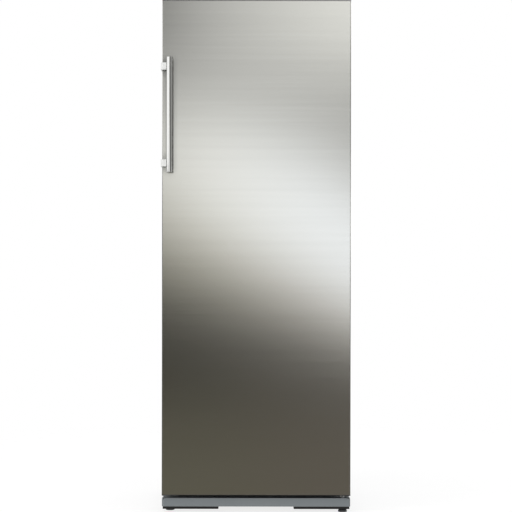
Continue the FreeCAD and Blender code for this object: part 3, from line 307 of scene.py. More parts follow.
def paleFloor():
    # matt studio floor, a disc (r cos a, r sin a, level) whose rim melts into the white room
    material, tree, shader, place = startMaterial("paleFloor")
    noise = addNode(tree, "TexNoise", {0: place, "Scale": 40.0, "Detail": 3.0})
    colour = addNode(tree, "Mix", {0: noise.outputs[0], 6: "#808080", 7: "#848484"}, data_type="RGBA")
    tree.links.new(colour.outputs[2], shader.inputs["Base Color"])
    setValues(shader, Roughness=0.95, Emission_Color=(1.0, 1.0, 1.0, 1.0), Emission_Strength=disc["glow"])
    reach = addNode(tree, "VectorMath", {0: place}, operation="LENGTH")
    fade = addNode(tree, "MapRange", {0: reach.outputs["Value"], 1: disc["fadeFrom"], 2: disc["fadeTo"],
                                      3: 1.0, 4: 0.0}, interpolation_type="SMOOTHSTEP")
    tree.links.new(fade.outputs[0], shader.inputs["Alpha"])
    turn = np.linspace(0, 2 * math.pi, disc["turns"])[None, :]
    radius = np.linspace(0.0001, disc["radius"], disc["rings"])[:, None]
    level = np.full((disc["rings"], disc["turns"]), disc["level"])
    return gridMesh("paleFloor", radius * np.cos(turn), radius * np.sin(turn), level, material)


floor = paleFloor()
floor.visible_glossy = False    # the door mirrors the dark end of the reflector there instead

softCard = {
    "ahead": 9.0, "halfWide": 1.4, "bottom": -2.0, "top": 4.2,      # its place and reach, metres
    "centre": 256.0, "left": 162.0, "wide": 188.0, "perMetre": 314.0,       # the door on it, in pixels
    "ridge": 165.0, "bow": 82.0, "bowFrom": 0.14, "bowPower": 1.6,  # bright band, bowed down to the right
    "peak": 0.822, "peakMore": 0.27,                        # "More" is what a value gains across the door
    "rimWide": 0.16, "rim": 0.93, "field": 1.05,            # left rim against the rest
    "mid": 0.390, "midMore": -0.03, "midFrom": 0.1, "midTo": 1.08, "rise": 80.0, "riseMore": 26.0,
    "topLeft": -0.18, "topMore": 0.51, "topStep": 0.09, "topFrom": 100.0, "topTo": 25.0,
    "half": 235.5, "halfMore": 80.0, "soft": 95.0, "softMore": -44.0,       # where it goes dark, how softly
    "low": 0.008, "lowEnd": 0.008 + 0.089, "liftFrom": 335.0, "liftTo": 465.0,
    "steel": 0.56,                                          # what the door gives back
    "duskFrom": 0.2, "duskTo": 0.8, "duskLeft": "#fff8d8", "duskRight": "#fff1da", "bright": "#fefffd",
    "coolTo": 0.95, "coolFall": 0.7, "cool": "#f3f8ff",
}


def reflectorCard():
    # a large softly graded reflector behind the camera, seen only in gloss. With t across the door and
    # down in pixels: light = (peak, easing to mid above a bowed ridge, plus the top) * fall + lift
    c = softCard
    material, tree = bareMaterial("gradedReflector")
    perMetre = c["perMetre"] / (1 + c["ahead"] / camera["distance"])
    place = addNode(tree, "TexCoord").outputs["Object"]
    split = addNode(tree, "SeparateXYZ", {0: place})
    known = {**c, "x": split.outputs[0], "z": split.outputs[2]}
    bowScale = c["bow"] / (1 - c["bowFrom"]) ** c["bowPower"]
    rows = [        # a new value, its operation, and its inputs: numbers, or values known by name
        ("t", "MULTIPLY_ADD", "x", perMetre / c["wide"], (c["centre"] - c["left"]) / c["wide"]),
        ("down", "MULTIPLY_ADD", "z", -perMetre, c["centre"] + camera["height"] * perMetre),
        ("inner", "SUBTRACT", "t", "bowFrom"),
        ("inner", "MAXIMUM", "inner", 0.0),
        ("bend", "POWER", "inner", "bowPower"),
        ("ridgeAt", "MULTIPLY_ADD", "bend", bowScale, "ridge"),
        ("above", "SUBTRACT", "ridgeAt", "down"),
        ("riseAt", "MULTIPLY_ADD", "t", "riseMore", "rise"),
        ("above", "DIVIDE", "above", "riseAt"),
        ("high", "SMOOTHSTEP", "above", "midFrom", "midTo", 0.0, 1.0),
        ("peakAt", "MULTIPLY_ADD", "t", "peakMore", "peak"),
        ("midAt", "MULTIPLY_ADD", "t", "midMore", "mid"),
        ("drop", "SUBTRACT", "midAt", "peakAt"),
        ("upper", "MULTIPLY_ADD", "high", "drop", "peakAt"),
        ("step", "SMOOTHSTEP", "t", 0.0, "rimWide", 0.0, "topStep"),
        ("topAt", "MULTIPLY_ADD", "t", "topMore", "topLeft"),
        ("topAt", "ADD", "topAt", "step"),
        ("topShare", "SMOOTHSTEP", "down", "topFrom", "topTo", 0.0, 1.0),
        ("upper", "MULTIPLY_ADD", "topShare", "topAt", "upper"),
        ("side", "SMOOTHSTEP", "t", 0.0, "rimWide", "rim", "field"),
        ("upper", "MULTIPLY", "upper", "side"),
        ("halfAt", "MULTIPLY_ADD", "t", "halfMore", "half"),
        ("softAt", "MULTIPLY_ADD", "t", "softMore", "soft"),
        ("past", "SUBTRACT", "down", "halfAt"),
        ("past", "DIVIDE", "past", "softAt"),
        ("fall", "SMOOTHERSTEP", "past", -1.0, 1.0, 1.0, 0.0),
        ("lift", "SMOOTHSTEP", "down", "liftFrom", "liftTo", "low", "lowEnd"),
        ("light", "MULTIPLY_ADD", "upper", "fall", "lift"),
        ("light", "DIVIDE", "light", "steel"),
        ("duskShare", "SMOOTHSTEP", "t", "duskFrom", "duskTo", 0.0, 1.0),
        ("across", "SMOOTHSTEP", "t", 0.0, "coolTo", 0.0, 1.0),
        ("under", "SUBTRACT", 1.0, "high"),
        ("lit", "SMOOTHSTEP", "fall", "coolFall", 1.0, 0.0, 1.0),
        ("coolShare", "MULTIPLY", "across", "under"),
        ("coolShare", "MULTIPLY", "coolShare", "lit"),
    ]
    for name, operation, *given in rows:
        inputs = {k: known[v] if isinstance(v, str) else v for k, v in enumerate(given)}
        if operation.startswith("SMOOTH"):
            known[name] = addNode(tree, "MapRange", inputs, interpolation_type=operation).outputs[0]
        else:
            known[name] = addNode(tree, "Math", inputs, operation=operation).outputs[0]
    dusk = addNode(tree, "Mix", {0: known["duskShare"], 6: c["duskLeft"], 7: c["duskRight"]},
                   data_type="RGBA")
    warm = addNode(tree, "Mix", {0: known["fall"], 6: dusk.outputs[2], 7: c["bright"]}, data_type="RGBA")
    tint = addNode(tree, "Mix", {0: known["coolShare"], 6: warm.outputs[2], 7: c["cool"]}, data_type="RGBA")
    glow = addNode(tree, "Emission", {"Color": tint.outputs[2], "Strength": known["light"]})
    addNode(tree, "OutputMaterial", {"Surface": glow.outputs[0]})
    xs, zs = np.meshgrid([-c["halfWide"], c["halfWide"]], [c["bottom"], c["top"]])
    ys = np.full_like(xs, camera["doorFront"] - c["ahead"])
    return gridMesh("reflectorCard", xs, ys, zs, material, False)


arcCards = {        # strength, colour, radius, first and last angle, lowest and highest point
    "greyWall": (0.20, "#f4f4f0", 11.0, -22, 75, -3.0, 9.0),
    "whiteStrip": (1.3, "#ffffff", 11.5, -100, -20, 1.55, 3.15),        # what the bar's left side mirrors
    "greyWallLeft": (0.20, "#f4f4f0", 11.7, -100, -20, -3.0, 9.0),
    "rimStripLow": (2.6, "#ffffff", 11.3, 76, 135, 0.85, 1.45),         # what the door's right rim mirrors
    "rimStripHigh": (2.6, "#ffffff", 11.3, 76, 135, 2.85, 6.0),
}


def arcCard(name, strength, hexText, radius, start, end, low, high):
    # upright piece of a cylinder round the freezer, (r sin a, -r cos a, z), with a in degrees from
    # straight ahead and right positive
    material, tree = bareMaterial(name + "Light")
    glow = addNode(tree, "Emission", {"Color": hexText, "Strength": strength})
    addNode(tree, "OutputMaterial", {"Surface": glow.outputs[0]})
    turn, zs = np.meshgrid(np.radians(np.linspace(start, end, 25)), [low, high])
    return gridMesh(name, radius * np.sin(turn), -radius * np.cos(turn), zs, material, False)


for card in [reflectorCard()] + [arcCard(name, *values) for name, values in arcCards.items()]:
    card.visible_camera = False
    card.visible_diffuse = False
    card.visible_shadow = False
    card.visible_transmission = False

room = {"light": 0.55, "seen": 1.0}      # strength for the freezer, and for the eye
world = bpy.data.worlds.new("paleRoom")
bpy.context.scene.world = world
world.use_nodes = True
sky = world.node_tree.nodes["Background"]
rays = addNode(world.node_tree, "LightPath")
seen = addNode(world.node_tree, "MapRange", {0: rays.outputs["Is Camera Ray"], 3: room["light"],
                                             4: room["seen"]})
world.node_tree.links.new(seen.outputs[0], sky.inputs["Strength"])
sky.inputs["Color"].default_value = (1.0, 1.0, 1.0, 1.0)


lamps = {       # place, where it points, size, watts
    "topSoftbox": ((0.0, -1.2, 4.6), (0, 0, 0.6), (4.0, 3.0), 70),
    "leftSoftbox": ((-3.8, -3.0, 2.4), (0, 0, 0.8), (2.0, 3.0), 62),
    "backSoftbox": ((1.6, 4.2, 2.6), (0, 0, 0.8), (2.5, 2.5), 34),
}


def areaLight(name, place, aim, size, power):
    # a softbox that faces its aim: yaw and pitch from the line between them; gloss doesn't see it
    data = bpy.data.lights.new(name, "AREA")
    data.shape = "RECTANGLE"
    data.size, data.size_y = size
    data.energy = power
    lamp = bpy.data.objects.new(name, data)
    bpy.context.collection.objects.link(lamp)
    lamp.location = place
    away = np.array(place) - np.array(aim)
    yaw = math.atan2(away[0], -away[1])
    pitch = math.atan2(math.hypot(away[0], away[1]), away[2])
    lamp.rotation_euler = (pitch, 0, yaw)
    lamp.visible_camera = False
    lamp.visible_glossy = False
    return lamp


for name, values in lamps.items():
    areaLight(name, *values)
bpy.context.scene.view_settings.view_transform = "Standard"
print("stage set")

eye = bpy.data.cameras.new("eye")
eye.lens = camera["lens"]
eye.sensor_width = camera["sensor"]
eye.clip_end = camera["reach"]
eyeHolder = bpy.data.objects.new("eye", eye)
bpy.context.collection.objects.link(eyeHolder)
eyeHolder.location = (camera["side"], camera["doorFront"] - camera["distance"], camera["height"])
eyeHolder.rotation_euler = (math.pi / 2, math.radians(camera["roll"]), 0)
bpy.context.scene.camera = eyeHolder
print("camera set")


def unit(vectors):
    # every vector divided by its length
    return vectors / np.linalg.norm(vectors, axis=-1, keepdims=True)


def roundedRoute(corners, radius, steps=6, closed=False):
    # straight legs joined by arcs; an arc is start + r sin(s) along the leg in + r (1 - cos s)
    # towards the leg out, s from 0 to the turn, r cut back where a leg is too short for it
    p = np.asarray(corners, float)
    if closed:
        p = np.concatenate([p[-1:], p, p[:1]])
    legs = np.diff(p, axis=0)
    long = np.linalg.norm(legs, axis=1)
    u, v = unit(legs[:-1]), unit(legs[1:])
    dot = np.clip((u * v).sum(1), -1, 1)
    turn = np.arccos(dot)
    n = v - u * dot[:, None]
    n = n / np.maximum(np.linalg.norm(n, axis=1, keepdims=True), 1e-9)
    r = np.minimum(radius, 0.5 * np.minimum(long[:-1], long[1:]) / np.maximum(np.tan(turn / 2), 1e-9))
    start = p[1:-1] - u * (r * np.tan(turn / 2))[:, None]
    s = turn[:, None] * np.linspace(0, 1, steps + 1)
    arcs = start[:, None] + u[:, None] * (r[:, None] * np.sin(s))[..., None] \
        + n[:, None] * (r[:, None] * (1 - np.cos(s)))[..., None]
    arcs = arcs.reshape(-1, p.shape[1])
    if closed:
        return arcs
    line = np.concatenate([p[:1], arcs, p[-1:]])
    return line[np.concatenate([[True], np.linalg.norm(np.diff(line, axis=0), axis=1) > 1e-6])]


def tubeRings(line, radius, sides=16):
    # a circle square to the line at each point: line + r (cos a side + sin a rise)
    line = np.asarray(line, float)
    step = unit(np.diff(line, axis=0))
    along = unit(np.concatenate([step[:1], step[:-1] + step[1:], step[-1:]]))
    side = unit(np.cross(along, [0.41, 0.37, 0.83]))
    rise = np.cross(along, side)
    a = np.linspace(0, 2 * math.pi, sides, endpoint=False)
    ring = side[:, None] * np.cos(a)[:, None] + rise[:, None] * np.sin(a)[:, None]
    return line[:, None] + np.reshape(radius, (-1, 1, 1)) * ring


def turnedRings(profile, centre, axis="z", sides=48):
    # radius and height pairs turned about an axis: (r cos a, r sin a, h) + centre
    r, h = np.asarray(profile, float).T
    a = np.linspace(0, 2 * math.pi, sides, endpoint=False)
    u, v = r[:, None] * np.cos(a), r[:, None] * np.sin(a)
    w = np.repeat(h[:, None], sides, axis=1)
    order = {"z": (u, v, w), "x": (w, u, v), "y": (v, w, u)}[axis]
    return np.stack(order, axis=-1) + np.asarray(centre, float)


def onPlane(flat, level, plane):
    # flat outline points and a level set into space
    u, v = flat[..., 0], flat[..., 1]
    w = np.broadcast_to(level, u.shape)
    return np.stack({"xy": (u, v, w), "xz": (u, w, v), "yz": (w, u, v)}[plane], axis=-1)


def plateRings(flat, low, high, edge, plane="xy", steps=3):
    # an outline pulled in by edge (1 - sin a) where the height is edge (1 - cos a) from either face
    before, after = unit(flat - np.roll(flat, 1, axis=0)), unit(np.roll(flat, -1, axis=0) - flat)
    area = 0.5 * np.sum(flat[:, 0] * np.roll(flat[:, 1], -1) - np.roll(flat[:, 0], -1) * flat[:, 1])
    inward = np.stack([-(before + after)[:, 1], (before + after)[:, 0]], axis=1) * np.sign(area)
    inward = inward / np.maximum((inward ** 2).sum(1, keepdims=True), 0.3) * 2
    a = np.linspace(0, math.pi / 2, steps + 1)
    inset = edge * (1 - np.sin(a))
    rise = edge * (1 - np.cos(a))
    insets = np.concatenate([inset, inset[::-1]])
    levels = np.concatenate([low + rise, high - rise[::-1]])
    return onPlane(flat[None] + inward[None] * insets[:, None, None], levels[:, None], plane)


def frameRings(rows, plane="xz", steps=6):
    # stacked rounded rectangles, each row (half width, low, high, corner radius, level)
    rings = []
    for halfWide, low, high, radius, level in rows:
        box = [(-halfWide, low), (halfWide, low), (halfWide, high), (-halfWide, high)]
        rings.append(onPlane(roundedRoute(box, radius, steps, closed=True), level, plane))
    return np.stack(rings)


def softBox(low, high, radius, plane="xy"):
    # box with every edge rounded: its plan as an outline, its upright edges and rims by plateRings
    low, high = np.asarray(low, float), np.asarray(high, float)
    u, v, w = {"xy": (0, 1, 2), "xz": (0, 2, 1), "yz": (1, 2, 0)}[plane]
    box = [(low[u], low[v]), (high[u], low[v]), (high[u], high[v]), (low[u], high[v])]
    return plateRings(roundedRoute(box, radius, 4, closed=True), low[w], high[w], radius * 0.9, plane)


def piece(name, shapes, finish, body, replaced=(), looped=False, sharp=38):
    # ring arrays joined into one mesh: quads between rings, flat faces on the ends unless looped,
    # every shape turned the right way out by the sign of its volume
    points, faces, start = [], [], 0
    for rings in shapes:
        rows, cols = rings.shape[:2]
        row = np.arange(rows if looped else rows - 1)[:, None]
        col = np.arange(cols)[None]
        ahead, beside = (row + 1) % rows, (col + 1) % cols
        quads = np.stack(np.broadcast_arrays(row * cols + col, row * cols + beside, ahead * cols + beside,
                                             ahead * cols + col), axis=-1).reshape(-1, 4)
        flat = rings.reshape(-1, 3)
        centred = flat - flat.mean(0)
        own = quads.tolist()
        a, b, c, d = (centred[quads[:, k]] for k in range(4))
        volume = np.sum(a * np.cross(b, c)) + np.sum(a * np.cross(c, d))
        if not looped:
            for cap in (list(range(cols))[::-1], list(range((rows - 1) * cols, rows * cols))):
                own.append(cap)
                corner = centred[cap]
                volume += np.sum(corner[0] * np.cross(corner[1:-1], corner[2:]).sum(0))
        if volume < 0:
            own = [face[::-1] for face in own]
        faces.extend([[start + k for k in face] for face in own])
        points.append(flat)
        start += len(flat)
    mesh = bpy.data.meshes.new(name)
    mesh.from_pydata(np.concatenate(points).tolist(), [], faces)
    mesh.polygons.foreach_set("use_smooth", np.ones(len(faces), bool))
    mesh.set_sharp_from_angle(angle=math.radians(sharp))
    mesh.materials.append(finishes[finish])
    thing = bpy.data.objects.new(name, mesh)
    bpy.context.collection.objects.link(thing)
    weigh = thing.modifiers.new("faceWeight", "WEIGHTED_NORMAL")    # flats stay flat beside small radii
    weigh.keep_sharp = True
    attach(thing, body)
    if replaced:
        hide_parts(*replaced)
    return thing


def mm(*rows):
    # rows of millimetres to rows of metres
    return [tuple(value / 1000 for value in row) for row in rows]


tip = 0.0004        # a turned shape is closed by a flat face of this radius round its axis
around = ((-1, -1), (1, -1), (1, 1), (-1, 1))       # the corners of a box in turn


handle = {"x": -0.2749, "y": -0.33775, "radius": 0.00975, "low": 1.081, "high": 1.446, "edge": 0.0011}


def handleBar():
    # round bar: an outline with small arcs at its rims, turned about z
    h = handle
    section = [(tip, h["low"]), (h["radius"], h["low"]), (h["radius"], h["high"]), (tip, h["high"])]
    rings = turnedRings(roundedRoute(section, h["edge"], 5), (h["x"], h["y"], 0), sides=64)
    return piece("polishedBar", [rings], "chrome", "door", ["handle_bar"])


foot = {"radius": 0.01425, "rim": 0.0036, "tall": 0.0104, "neck": 0.0056,
        "sole": [(tip, 0.0), (0.0112, 0.0), (0.0134, 0.0006), (0.01425, 0.0019)],      # radius, height
        "stud": 0.0049, "top": 0.0219, "pitch": 0.00125, "thread": 0.00035}


def levellingFoot(name, node):
    # domed sole, neck + (radius - neck) cos^0.8 a by sin a, and a threaded stud whose radius is
    # stud - thread |2 frac(h / pitch) - 1|
    f = foot
    low, high = nodeBox(node)
    centre = ((low[0] + high[0]) / 2, (low[1] + high[1]) / 2, 0)
    a = np.linspace(0, 1, 14)[1:] * math.pi / 2
    dome = np.stack([f["neck"] + (f["radius"] - f["neck"]) * np.cos(a) ** 0.8,
                     f["rim"] + (f["tall"] - f["rim"]) * np.sin(a)], axis=1)
    h = np.arange(f["tall"] + 0.0002, f["top"], f["pitch"] / 4)
    ridge = f["stud"] - f["thread"] * np.abs(((h / f["pitch"]) % 1) * 2 - 1)
    stud = np.stack([ridge, h], axis=1)
    profile = np.concatenate([f["sole"], [(f["radius"], f["rim"])], dome, stud, [(tip, f["top"])]])
    return piece(name, [turnedRings(profile, centre, sides=48)], slotOf[node], node, [node], sharp=50)


plinthEdge = {"rear": ((-0.250, -0.2405, 0.0365), (0.250, -0.2377, 0.0462)),
              "front": ((-0.2915, -0.2917, 0.0424), (0.2915, -0.2887, 0.0463)), "edge": 0.0007}


def plinthEdges():
    # two upstands of the plinth, boxes with soft edges: the rear one shuts the slot under the cabinet,
    # the front one stiffens the rim
    rear = softBox(*plinthEdge["rear"], plinthEdge["edge"], "xz")
    front = softBox(*plinthEdge["front"], plinthEdge["edge"], "xz")
    return piece("plinthEdges", [rear, front], "plinth_plastic", "cabinet")


handleBar()
plinthEdges()
levellingFoot("footLeft", "foot_left")
levellingFoot("footRight", "foot_right")
print("handle and feet made")


shelf = {
    "levels": [0.348 + 0.242 * k for k in range(5)],
    "runs": [-0.19, -0.114, -0.038, 0.038, 0.114, 0.19],
    "front": -0.182, "back": 0.225, "tail": 0.236, "riser": 0.245,
    "bend": 0.038, "riserBend": 0.008, "radius": 0.004,
    "wire": 0.001, "wireCount": 15, "wireFront": -0.1695, "wireBack": 0.217, "wireHalf": 0.228,
}


def evaporatorShelves():
    # one tube bent to and fro on each level, joined to the next level at the back
    e = shelf
    tubes = []
    for level in e["levels"]:
        corners = [(e["runs"][0], e["tail"], level)]
        for k in range(5):
            y = e["front"] if k % 2 == 0 else e["back"]
            corners += [(e["runs"][k], y, level), (e["runs"][k + 1], y, level)]
        corners.append((e["runs"][-1], e["tail"], level))
        tubes.append(tubeRings(roundedRoute(corners, e["bend"], 12), e["radius"]))
    for k, (low, high) in enumerate(zip(e["levels"], e["levels"][1:])):
        x = e["runs"][0] if k % 2 == 0 else e["runs"][-1]
        corners = [(x, e["tail"], low), (x, e["riser"], low), (x, e["riser"], high), (x, e["tail"], high)]
        tubes.append(tubeRings(roundedRoute(corners, e["riserBend"], 6), e["radius"]))
    return piece("evaporatorTube", tubes, "white_coated_steel", "cabinet", ["evaporator_tube"])


def evaporatorWires():
    # drawn wires welded under the tubes, side to side
    e = shelf
    rods = []
    for level in e["levels"]:
        z = level - e["radius"] - e["wire"]
        for y in np.linspace(e["wireFront"], e["wireBack"], e["wireCount"]):
            rods.append(tubeRings([(-e["wireHalf"], y, z), (e["wireHalf"], y, z)], e["wire"], 8))
    return piece("evaporatorWires", rods, "white_coated_steel", "cabinet", ["evaporator_wires"])


evaporatorShelves()
evaporatorWires()
print("evaporator shelves made")


condenser = {
    "y": 0.341, "low": 0.33, "pitch": 0.06, "runs": 20, "half": 0.2585, "end": 0.2285, "radius": 0.003,
    "wire": 0.00075, "wireCount": 17, "wireHalf": 0.2025, "wireLow": 0.318, "wireHigh": 1.482,
}


def condenserTube():
    # twenty level runs joined by half circles, first left to right
    c = condenser
    corners = [(-c["end"], c["y"], c["low"])]
    for k in range(c["runs"] - 1):
        x = c["half"] if k % 2 == 0 else -c["half"]
        corners += [(x, c["y"], c["low"] + c["pitch"] * k), (x, c["y"], c["low"] + c["pitch"] * (k + 1))]
    corners.append((-c["end"], c["y"], c["low"] + c["pitch"] * (c["runs"] - 1)))
    rings = tubeRings(roundedRoute(corners, c["pitch"] / 2, 12), c["radius"])
    return piece("condenserTube", [rings], slotOf["condenser_tube"], "cabinet", ["condenser_tube"])


def condenserWires():
    # upright wires welded to both sides of the runs
    c = condenser
    rods = []
    for x in np.linspace(-c["wireHalf"], c["wireHalf"], c["wireCount"]):
        for side in (-1, 1):
            y = c["y"] + side * (c["radius"] + c["wire"])
            rods.append(tubeRings([(x, y, c["wireLow"]), (x, y, c["wireHigh"])], c["wire"], 8))
    return piece("condenserWires", rods, slotOf["condenser_wires"], "cabinet", ["condenser_wires"])


pipes = {        # radius and corners, in millimetres
    "suction": (3.0, mm((190, 236, 348), (190, 289.6, 348), (190, 289.6, 143), (190, 227, 143),
                        (140, 227, 143))),
    "discharge": (3.0, mm((70, 297.5, 121), (70, 303, 121), (-236.5, 303, 121), (-236.5, 341, 121),
                          (-236.5, 341, 330), (-228.5, 341, 330))),
    "liquid": (3.0, mm((-228.5, 341, 1470), (-272, 341, 1470), (-272, 341, 222), (-272, 293, 222),
                       (-150, 293, 222), (-150, 293, 207))),
    "capillary": (1.2, mm((-150, 293, 113), (-150, 293, 96), (-116, 293, 96), (-116, 293, 226),
                          (-116, 289.6, 226), (-116, 289.6, 1316), (-190, 289.6, 1316), (-190, 236, 1316))),
}
pipeBend = 0.012


def refrigerantPipes():
    # each pipe a route of straight legs, bent to pipeBend where there is room
    tubes = [tubeRings(roundedRoute(route, pipeBend, 6), radius / 1000, 14)
             for radius, route in pipes.values()]
    return piece("refrigerantPipes", tubes, slotOf["refrigerant_pipes"], "cabinet", ["refrigerant_pipes"])


drier = {"x": -0.15, "y": 0.293, "low": 0.112, "tall": 0.096, "radius": 0.008, "neck": 0.0034,
         "lead": 0.005, "taper": 0.008, "beads": (0.028, 0.068), "beadDeep": 0.0006, "beadWide": 0.0016}


def filterDrier():
    # spun copper can, necked to the pipe by a quarter sine at both ends, with the two rolled beads
    # that hold its screen, each deep exp(-((h - bead) / wide)^2)
    d = drier
    h = np.linspace(0, d["tall"], 65)
    neck = np.clip(np.minimum(h, d["tall"] - h) - d["lead"], 0, d["taper"]) / d["taper"]
    r = d["neck"] + (d["radius"] - d["neck"]) * np.sin(neck * math.pi / 2)
    dent = d["beadDeep"] * sum(np.exp(-((h - bead) / d["beadWide"]) ** 2) for bead in d["beads"])
    rings = turnedRings(np.stack([r - dent, h + d["low"]], axis=1), (d["x"], d["y"], 0), sides=40)
    return piece("filterDrier", [rings], slotOf["filter_drier"], "cabinet", ["filter_drier"])


condenserTube()
condenserWires()
refrigerantPipes()
filterDrier()
print("condenser and pipes made")


pot = {"x": 0.07, "y": 0.227, "radius": 0.072, "low": 0.05, "high": 0.2, "seam": 0.1325,
       "bowl": 0.03, "dome": 0.034,
       "flange": [(0, -0.0035), (0.0038, -0.0022), (0.0038, 0.0004), (0.0012, 0.0012), (0, 0.0035)],
       "plateLow": 0.052, "plateThick": 0.003, "plateRim": 0.012, "plateCorner": 0.008, "plateEdge": 0.0008,
       "mountX": 0.08, "mountY": 0.062}


def compressorPot():
    # two drawn half shells, radius cos^0.6 a below and cos^0.7 a above, a welded flange between
    # them, standing on a pressed foot plate
    p = pot
    a = np.radians(np.linspace(86, 0, 12))
    bowl = np.stack([p["radius"] * np.cos(a) ** 0.6, p["low"] + p["bowl"] * (1 - np.sin(a))], axis=1)
    flange = np.array(p["flange"]) + (p["radius"], p["seam"])
    a = np.radians(np.linspace(0, 86, 16))
    dome = np.stack([p["radius"] * np.cos(a) ** 0.7, p["high"] - p["dome"] * (1 - np.sin(a))], axis=1)
    shell = turnedRings(np.concatenate([bowl, flange, dome]), (p["x"], p["y"], 0), sides=72)
    wide, deep = p["mountX"] + p["plateRim"], p["mountY"] + p["plateRim"]
    outline = roundedRoute([(p["x"] + i * wide, p["y"] + j * deep) for i, j in around], p["plateCorner"], 6,
                           closed=True)
    plate = plateRings(outline, p["plateLow"], p["plateLow"] + p["plateThick"], p["plateEdge"])
    return piece("compressorPot", [shell, plate], slotOf["compressor"], "cabinet", ["compressor"], sharp=32)


grommet = {"base": 0.009, "waist": 0.0076, "body": 0.0085, "cap": 0.008, "edge": 0.001}


def mountGrommets():
    # rubber buffers, waisted and grooved, pushed through the foot plate: one outline turned about z
    p, g = pot, grommet
    low, high = nodeBox("compressor_grommets")[:, 2]
    section = [(tip, low), (g["base"], low), (g["base"], low + 0.004), (g["waist"], low + 0.009),
               (g["body"], low + 0.014), (g["body"], high - 0.0072), (g["cap"], high - 0.004),
               (g["cap"], high), (tip, high)]
    outline = roundedRoute(section, g["edge"], 3)
    places = [(p["x"] + i * p["mountX"], p["y"] + j * p["mountY"], 0) for i in (-1, 1) for j in (-1, 1)]
    shapes = [turnedRings(outline, place, sides=28) for place in places]
    return piece("mountGrommets", shapes, slotOf["compressor_grommets"], "cabinet", ["compressor_grommets"])


relay = {"edge": 0.004}


def relayCover():
    # snap-on cover over the starting relay, a box with soft edges
    rings = softBox(*nodeBox("relay_cover"), relay["edge"], "xz")
    return piece("relayCover", [rings], slotOf["relay_cover"], "cabinet", ["relay_cover"])


terminal = {"edge": 0.003, "gland": 0.012, "radius": 0.0088, "groove": 0.0006, "grooves": 3,
            "fromLeft": 0.02, "bore": 0.0046, "boreDeep": 0.006, "root": 0.002}


def terminalBox():
    # closed box on the niche wall, and on its back a gland whose radius drops by a groove wherever
    # sin(2 pi grooves y / length) is above zero
    t = terminal
    low, high = nodeBox("mains_terminal_box")
    body = softBox(low, high - np.array([0, t["gland"], 0]), t["edge"], "yz")
    y = np.linspace(0, t["gland"], 25)
    r = t["radius"] - t["groove"] * (np.sin(y / t["gland"] * 2 * t["grooves"] * math.pi) > 0)
    outer = np.stack([r, high[1] - t["gland"] + y], axis=1)
    floorLevel = high[1] - t["boreDeep"]
    tunnel = [(t["bore"], high[1]), (t["bore"], floorLevel), (tip, floorLevel)]
    profile = np.concatenate([[(tip, high[1] - t["gland"] - t["root"])], outer, tunnel])
    rings = turnedRings(profile, (low[0] + t["fromLeft"], 0, (low[2] + high[2]) / 2), "y", 32)
    return piece("terminalBox", [body, rings], slotOf["mains_terminal_box"], "cabinet",
                 ["mains_terminal_box"])


compressorPot()
mountGrommets()
relayCover()
terminalBox()
print("machine niche made")


roller = {"bore": 0.0041, "hub": 0.0065, "hubFoot": 0.007, "dish": 0.0008, "rim": 0.0018, "bevel": 0.0014,
          "edge": 0.0005}


def rearRoller(name, node):
    # solid wheel with dished sides, a bevelled tread and a bore: half its outline and the mirror of
    # that half, turned about x
    q = roller
    low, high = nodeBox(node)
    middle = (low + high) / 2
    wide, radius = high[0] - low[0], (high[2] - low[2]) / 2
    half = [(q["bore"], 0), (q["hub"], 0), (q["hubFoot"], q["dish"]), (radius - q["rim"], q["dish"]),
            (radius - q["bevel"], 0), (radius, q["bevel"])]
    section = half + [(r, wide - x) for r, x in half[::-1]]
    outline = roundedRoute(section, q["edge"], 3, closed=True)
    rings = turnedRings(outline, (low[0], middle[1], middle[2]), "x", 40)
    return piece(name, [rings], slotOf[node], node, [node], looped=True)


rearRoller("rollerLeft", "rear_roller_left")
rearRoller("rollerRight", "rear_roller_right")
print("rollers made")


seal = {"half": 0.27, "low": 0.08, "high": 1.584, "back": -0.2505, "front": -0.2377, "edge": 0.0006}


def doorSeal():
    # one extruded section, mitred and welded at the four corners: dart flange, bellows, magnet pocket.
    # At a corner the section's width runs along x and z alike, which gives the mitre
    g = seal
    deep = g["front"] - g["back"]
    section = mm((0, 0), (20, 0), (20, 2.2), (15.5, 2.8), (13.2, 4.6), (15.2, 6.6), (17.6, 7.2),
                 (17.6, 12.2), (16.6, deep * 1000), (3.4, deep * 1000), (2.4, 12.2), (2.4, 7.2),
                 (4.8, 6.6), (6.8, 4.6), (4.5, 2.8), (0, 2.2))
    section = roundedRoute(section, g["edge"], 3, closed=True)
    rings = []
    for i, j in ((-1, 0), (1, 0), (1, 1), (-1, 1)):
        x = i * (g["half"] - section[:, 0])
        z = (g["high"] - section[:, 0]) if j else (g["low"] + section[:, 0])
        rings.append(np.stack([x, g["back"] + section[:, 1], z], axis=-1))
    return piece("doorSeal", [np.stack(rings)], slotOf["door_gasket"], "door", ["door_gasket"], looped=True)


innerDoor = {"half": 0.298, "low": 0.06, "high": 1.621, "back": -0.2525, "flange": -0.2505, "pad": 0.008,
             "padHalf": 0.225, "padLow": 0.118, "padHigh": 1.546, "corner": 0.026, "draft": 0.008,
             "rimCorner": 0.003, "channel": 0.0016, "channelIn": 0.046, "channelWide": 0.014}


